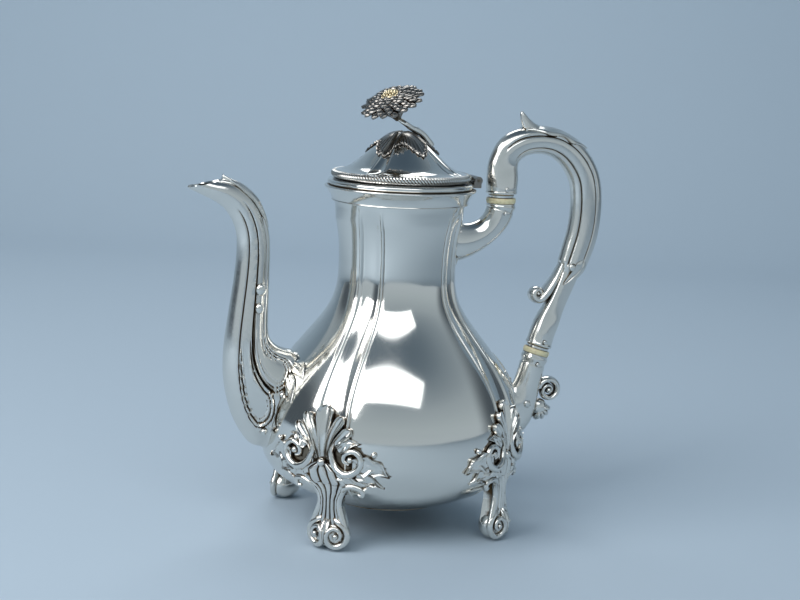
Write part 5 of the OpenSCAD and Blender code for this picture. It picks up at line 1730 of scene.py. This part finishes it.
@dataclass
class Hollows:
    """Finds how deep each point of the silver lies between its neighbours, which is where oxide stays."""

    reach: float = 4.5 * MM
    start: float = 0.06 * MM
    low_looks: tuple = ((1.15, 5),)
    high_looks: tuple = ((0.7, 4), (0.2, 1))
    crease_gain: float = 2.2

    def looks(self, rings: Sequence[tuple[float, int]]) -> list[tuple[Vector, float]]:
        """Gives rings of looks out of a surface.

        Args:
            rings: For each ring its tilt from the surface's direction, in radians, and its count.

        Returns:
            Directions with their weights.
        """
        found = []
        for tilt, count in rings:
            high, wide = math.cos(tilt), math.sin(tilt)
            for index in range(count):
                turn = FULL * (index + 0.5 * tilt) / count
                way = Vector((wide * math.cos(turn), wide * math.sin(turn), high))
                found.append((way, 0.35 + high))
        return found

    def cast(self, tree: BVHTree, frames: Sequence[Array], chosen: Array, looks: Sequence) -> Array:
        """Gives the share of looks that is shut off, weighted by how near the wall is.

        Args:
            tree: All the faces of the pot.
            frames: Places, two side directions and the outward direction of every point.
            chosen: The numbers of the points to look from.
            looks: Directions with their weights.

        Returns:
            One sum of weights for each chosen point.
        """
        spots, side, third, normal = [part[chosen] for part in frames]
        origins = (spots + normal * self.start).tolist()
        shut = np.zeros(len(chosen))
        for way, weight in looks:
            rays = (side * way.x + third * way.y + normal * way.z).tolist()
            for index, (origin, ray) in enumerate(zip(origins, rays)):
                distance = tree.ray_cast(origin, ray, self.reach)[3]
                if distance is not None:
                    shut[index] += weight * (1.0 - 0.6 * distance / self.reach)
        return shut

    def creases(self, piece: bpy.types.Object, spots: Array, normal: Array) -> Array:
        """Gives how far each point lies below the points round it.

        Args:
            piece: The piece.
            spots: Its points.
            normal: Their outward directions.

        Returns:
            The depth as a share of the points' distance, from 0 to 1.
        """
        edges = np.empty(len(piece.data.edges) * 2, dtype=int)
        piece.data.edges.foreach_get("vertices", edges)
        first, last = edges.reshape(-1, 2).T
        away = spots[last] - spots[first]
        length = np.linalg.norm(away, axis=1) + 1e-9
        rise, count = np.zeros(len(spots)), np.zeros(len(spots))
        np.add.at(rise, first, (away * normal[first]).sum(axis=1) / length)
        np.add.at(rise, last, -(away * normal[last]).sum(axis=1) / length)
        np.add.at(count, first, 1.0)
        np.add.at(count, last, 1.0)
        return clip(self.crease_gain * rise / np.maximum(count, 1.0))

    def settle(self, pieces: Sequence[bpy.types.Object]) -> None:
        """Stores the depth on each point of the pieces, from 0 in the open to 1 in a crevice.

        Args:
            pieces: All the pieces that oxide can settle on.
        """
        verts, faces = [], []
        for piece in pieces:
            base = len(verts)
            verts.extend(vert.co.copy() for vert in piece.data.vertices)
            faces.extend([base + index for index in face.vertices] for face in piece.data.polygons)
        tree = BVHTree.FromPolygons(verts, faces)
        low, high = self.looks(self.low_looks), self.looks(self.high_looks)
        total = sum(weight for _, weight in low + high)
        for piece in pieces:
            count = len(piece.data.vertices)
            spots, normal = np.empty(count * 3), np.empty(count * 3)
            piece.data.vertices.foreach_get("co", spots)
            piece.data.vertices.foreach_get("normal", normal)
            spots, normal = spots.reshape(-1, 3), normal.reshape(-1, 3)
            helper = np.where(np.abs(normal[:, 2:3]) < 0.9, (0.0, 0.0, 1.0), (1.0, 0.0, 0.0))
            side = unit(np.cross(helper, normal))
            frames = (spots, side, np.cross(normal, side), normal)
            values = self.cast(tree, frames, np.arange(count), low)
            shaded = np.nonzero(values > 0.0)[0]
            values[shaded] += self.cast(tree, frames, shaded, high)
            depth = clip(values / total + self.creases(piece, spots, normal))
            layer = piece.data.attributes.new("hollow", "FLOAT", "POINT")
            layer.data.foreach_set("value", depth.astype(np.float32))


@dataclass(frozen=True)
class Lamp:
    """A soft box that faces the pot: angles in degrees, distance and size in metres, power in watts."""

    name: str
    azimuth: float
    elevation: float
    distance: float
    size: Flat
    power: float
    colour: str

    def hang(self, aim_z: float) -> None:
        """Hangs the soft box.

        Args:
            aim_z: Height of the point that it faces, in metres.
        """
        data = bpy.data.lights.new(self.name, "AREA")
        data.shape = "RECTANGLE"
        data.size, data.size_y = self.size
        data.energy = self.power
        data.color = linear(self.colour)[:3]
        away = aim(self.azimuth, self.elevation)
        place = Vector((0.0, 0.0, aim_z)) + away * self.distance
        lamp = bpy.data.objects.new(self.name, data)
        lamp.matrix_world = Matrix.Translation(place) @ away.to_track_quat("Z", "Y").to_matrix().to_4x4()
        bpy.context.scene.collection.objects.link(lamp)


@dataclass
class Studio:
    """The floor, the lights and the camera."""

    focal_px: float = 1520.0
    image_px: Flat = (800.0, 600.0)
    sensor_mm: float = 36.0
    distance: float = 815.0
    height: float = 260.5
    azimuth: float = -19.0
    pitch: float = 9.65
    roll: float = 2.6
    yaw: float = 0.17
    sweep_front: float = 1.6
    sweep_back: float = 1.0
    sweep_bend: float = 0.5
    sweep_top: float = 2.6
    sweep_half: float = 2.6
    sweep_drop: float = 0.0004
    aim_z: float = 0.1
    lamps: tuple = (Lamp("window_left", -163.0, 36.0, 1.5, (1.0, 1.0), 13.0, "#FAFCFF"),
                    Lamp("window_front", -116.0, 50.0, 1.5, (1.7, 0.7), 6.6, "#F6FBFF"),
                    Lamp("lamp_behind", 75.0, 52.0, 1.6, (0.9, 0.5), 5.0, "#F8FCFF"))
    # Colours of the room from the floor to the ceiling
    room: tuple = ((0.0, "#8B95A1"), (0.47, "#B4C1CB"), (0.6, "#ABB9C2"), (0.75, "#9CAAB4"),
                   (0.88, "#7C8B97"), (0.96, "#556675"), (1.0, "#485969"))
    # Azimuth and elevation of each dark side, and the angles where it is full and where it ends
    dark_sides: tuple = ((14.0, 8.0, 12.0, 36.0), (160.0, 8.0, 12.0, 36.0))
    dark_hex: str = "#4E5861"

    def camera(self) -> None:
        """Sets the camera at the viewing angle of the picture."""
        turn = math.radians(self.azimuth)
        place = Vector((self.distance * math.sin(turn), -self.distance * math.cos(turn), self.height))
        ahead = Vector((-math.sin(turn), math.cos(turn), 0.0))
        right = Vector((math.cos(turn), math.sin(turn), 0.0))
        upward = Vector((0.0, 0.0, 1.0))
        ahead, right = swing(ahead, right, self.yaw)
        upward, ahead = swing(upward, ahead, self.pitch)
        right, upward = swing(right, upward, self.roll)
        data = bpy.data.cameras.new("camera")
        data.sensor_width = self.sensor_mm
        data.lens = self.focal_px / self.image_px[0] * self.sensor_mm
        data.clip_end = 50.0
        camera = bpy.data.objects.new("camera", data)
        axes = Matrix((right, upward, -ahead)).transposed().to_4x4()
        camera.matrix_world = Matrix.Translation(place * MM) @ axes
        bpy.context.scene.collection.objects.link(camera)
        bpy.context.scene.camera = camera

    def floor(self) -> None:
        """Lays a pale paper sweep under and behind the pot."""
        shape = bmesh.new()
        back, bend = self.sweep_back, self.sweep_bend
        profile = [(-self.sweep_front, 0.0), (back, 0.0)]
        profile += [(back + bend * math.sin(a), bend - bend * math.cos(a))
                    for a in np.linspace(0.1, math.pi / 2, 16)]
        profile += [(back + bend, self.sweep_top)]
        verts = [shape.verts.new((-self.sweep_half, y, z - self.sweep_drop)) for y, z in profile]
        edges = [shape.edges.new(pair) for pair in zip(verts, verts[1:])]
        made = bmesh.ops.extrude_edge_only(shape, edges=edges)["geom"]
        moved = [item for item in made if isinstance(item, bmesh.types.BMVert)]
        bmesh.ops.translate(shape, vec=(2.0 * self.sweep_half, 0.0, 0.0), verts=moved)
        bmesh.ops.rotate(shape, cent=(0, 0, 0), matrix=Matrix.Rotation(math.radians(self.azimuth), 3, "Z"),
                         verts=shape.verts)
        bmesh.ops.recalc_face_normals(shape, faces=shape.faces)
        for face in shape.faces:
            face.smooth = True
        data = bpy.data.meshes.new("paper_sweep")
        shape.to_mesh(data)
        shape.free()
        sweep = bpy.data.objects.new("paper_sweep", data)
        bpy.context.scene.collection.objects.link(sweep)
        data.materials.append(PAPER.material())

    def world(self) -> None:
        """Fills the room with soft light: pale near the floor, darker at the ceiling and the dark sides."""
        world = bpy.data.worlds.new("room")
        bpy.context.scene.world = world
        world.use_nodes = True
        tree = world.node_tree
        tree.nodes.clear()
        way = add(tree, "ShaderNodeTexCoord").outputs["Generated"]
        parts = add(tree, "ShaderNodeSeparateXYZ", Vector=way)
        share = add(tree, "ShaderNodeMapRange", Value=parts.outputs["Z"], From_Min=-1.0, From_Max=1.0)
        ramp = add(tree, "ShaderNodeValToRGB", Fac=share.outputs[0])
        stops = ramp.color_ramp.elements
        stops[0].color = linear(self.room[0][1])
        stops[1].color = linear(self.room[-1][1])
        for place, colour in self.room[1:-1]:
            stops.new(place).color = linear(colour)
        colour = ramp.outputs[0]
        for azimuth, elevation, inner, outer in self.dark_sides:
            near = add(tree, "ShaderNodeVectorMath", {"operation": "DOT_PRODUCT"}, n0=way,
                       n1=aim(azimuth, elevation))
            inside = add(tree, "ShaderNodeMapRange", {"interpolation_type": "SMOOTHSTEP"},
                         Value=near.outputs["Value"], From_Min=math.cos(math.radians(outer)),
                         From_Max=math.cos(math.radians(inner)))
            colour = add(tree, "ShaderNodeMix", {"data_type": "RGBA"}, Factor=inside.outputs[0], n6=colour,
                         n7=linear(self.dark_hex)).outputs[2]
        shade = add(tree, "ShaderNodeBackground", Color=colour, Strength=1.0)
        add(tree, "ShaderNodeOutputWorld", Surface=shade.outputs[0])

    def build(self) -> None:
        """Sets up the studio."""
        self.floor()
        for lamp in self.lamps:
            lamp.hang(self.aim_z)
        self.world()


def dress_solids() -> None:
    """Gives the solids that stay as they are the finish of their silver."""
    finishes = {"base_plate": OXIDISED, "hinge_pin": OXIDISED, "finial_nut": OXIDISED,
                "hinge_body_leaf": TARNISHED, "hinge_lid_leaf": TARNISHED, "lid_bezel": POLISHED}
    for node, finish in finishes.items():
        solid = frame["nodes"][node]
        solid.data.materials.clear()
        solid.data.materials.append(finish.material())


def main() -> None:
    """Builds the pot, its finish and the studio."""
    logging.basicConfig(level=logging.INFO, format="%(name)s %(message)s")
    bpy.context.scene.view_settings.view_transform = "Standard"
    studio = Studio()
    studio.camera()
    present = set(bpy.data.objects)
    vessel = Vessel()
    vessel.build()
    Spout(vessel).build()
    Handle(vessel).build()
    for node, angle, lean in (("foot_front_left", -135.0, -4.0), ("foot_front_right", -45.0, 0.0),
                              ("foot_back_left", 135.0, 4.0), ("foot_back_right", 45.0, 0.0)):
        Foot(vessel, node, angle, lean).build()
    Lid().build()
    dress_solids()
    pieces = [piece for piece in bpy.data.objects if piece not in present and piece.type == "MESH"]
    Hollows().settle(pieces)
    studio.build()


if __name__ == "__main__":
    main()
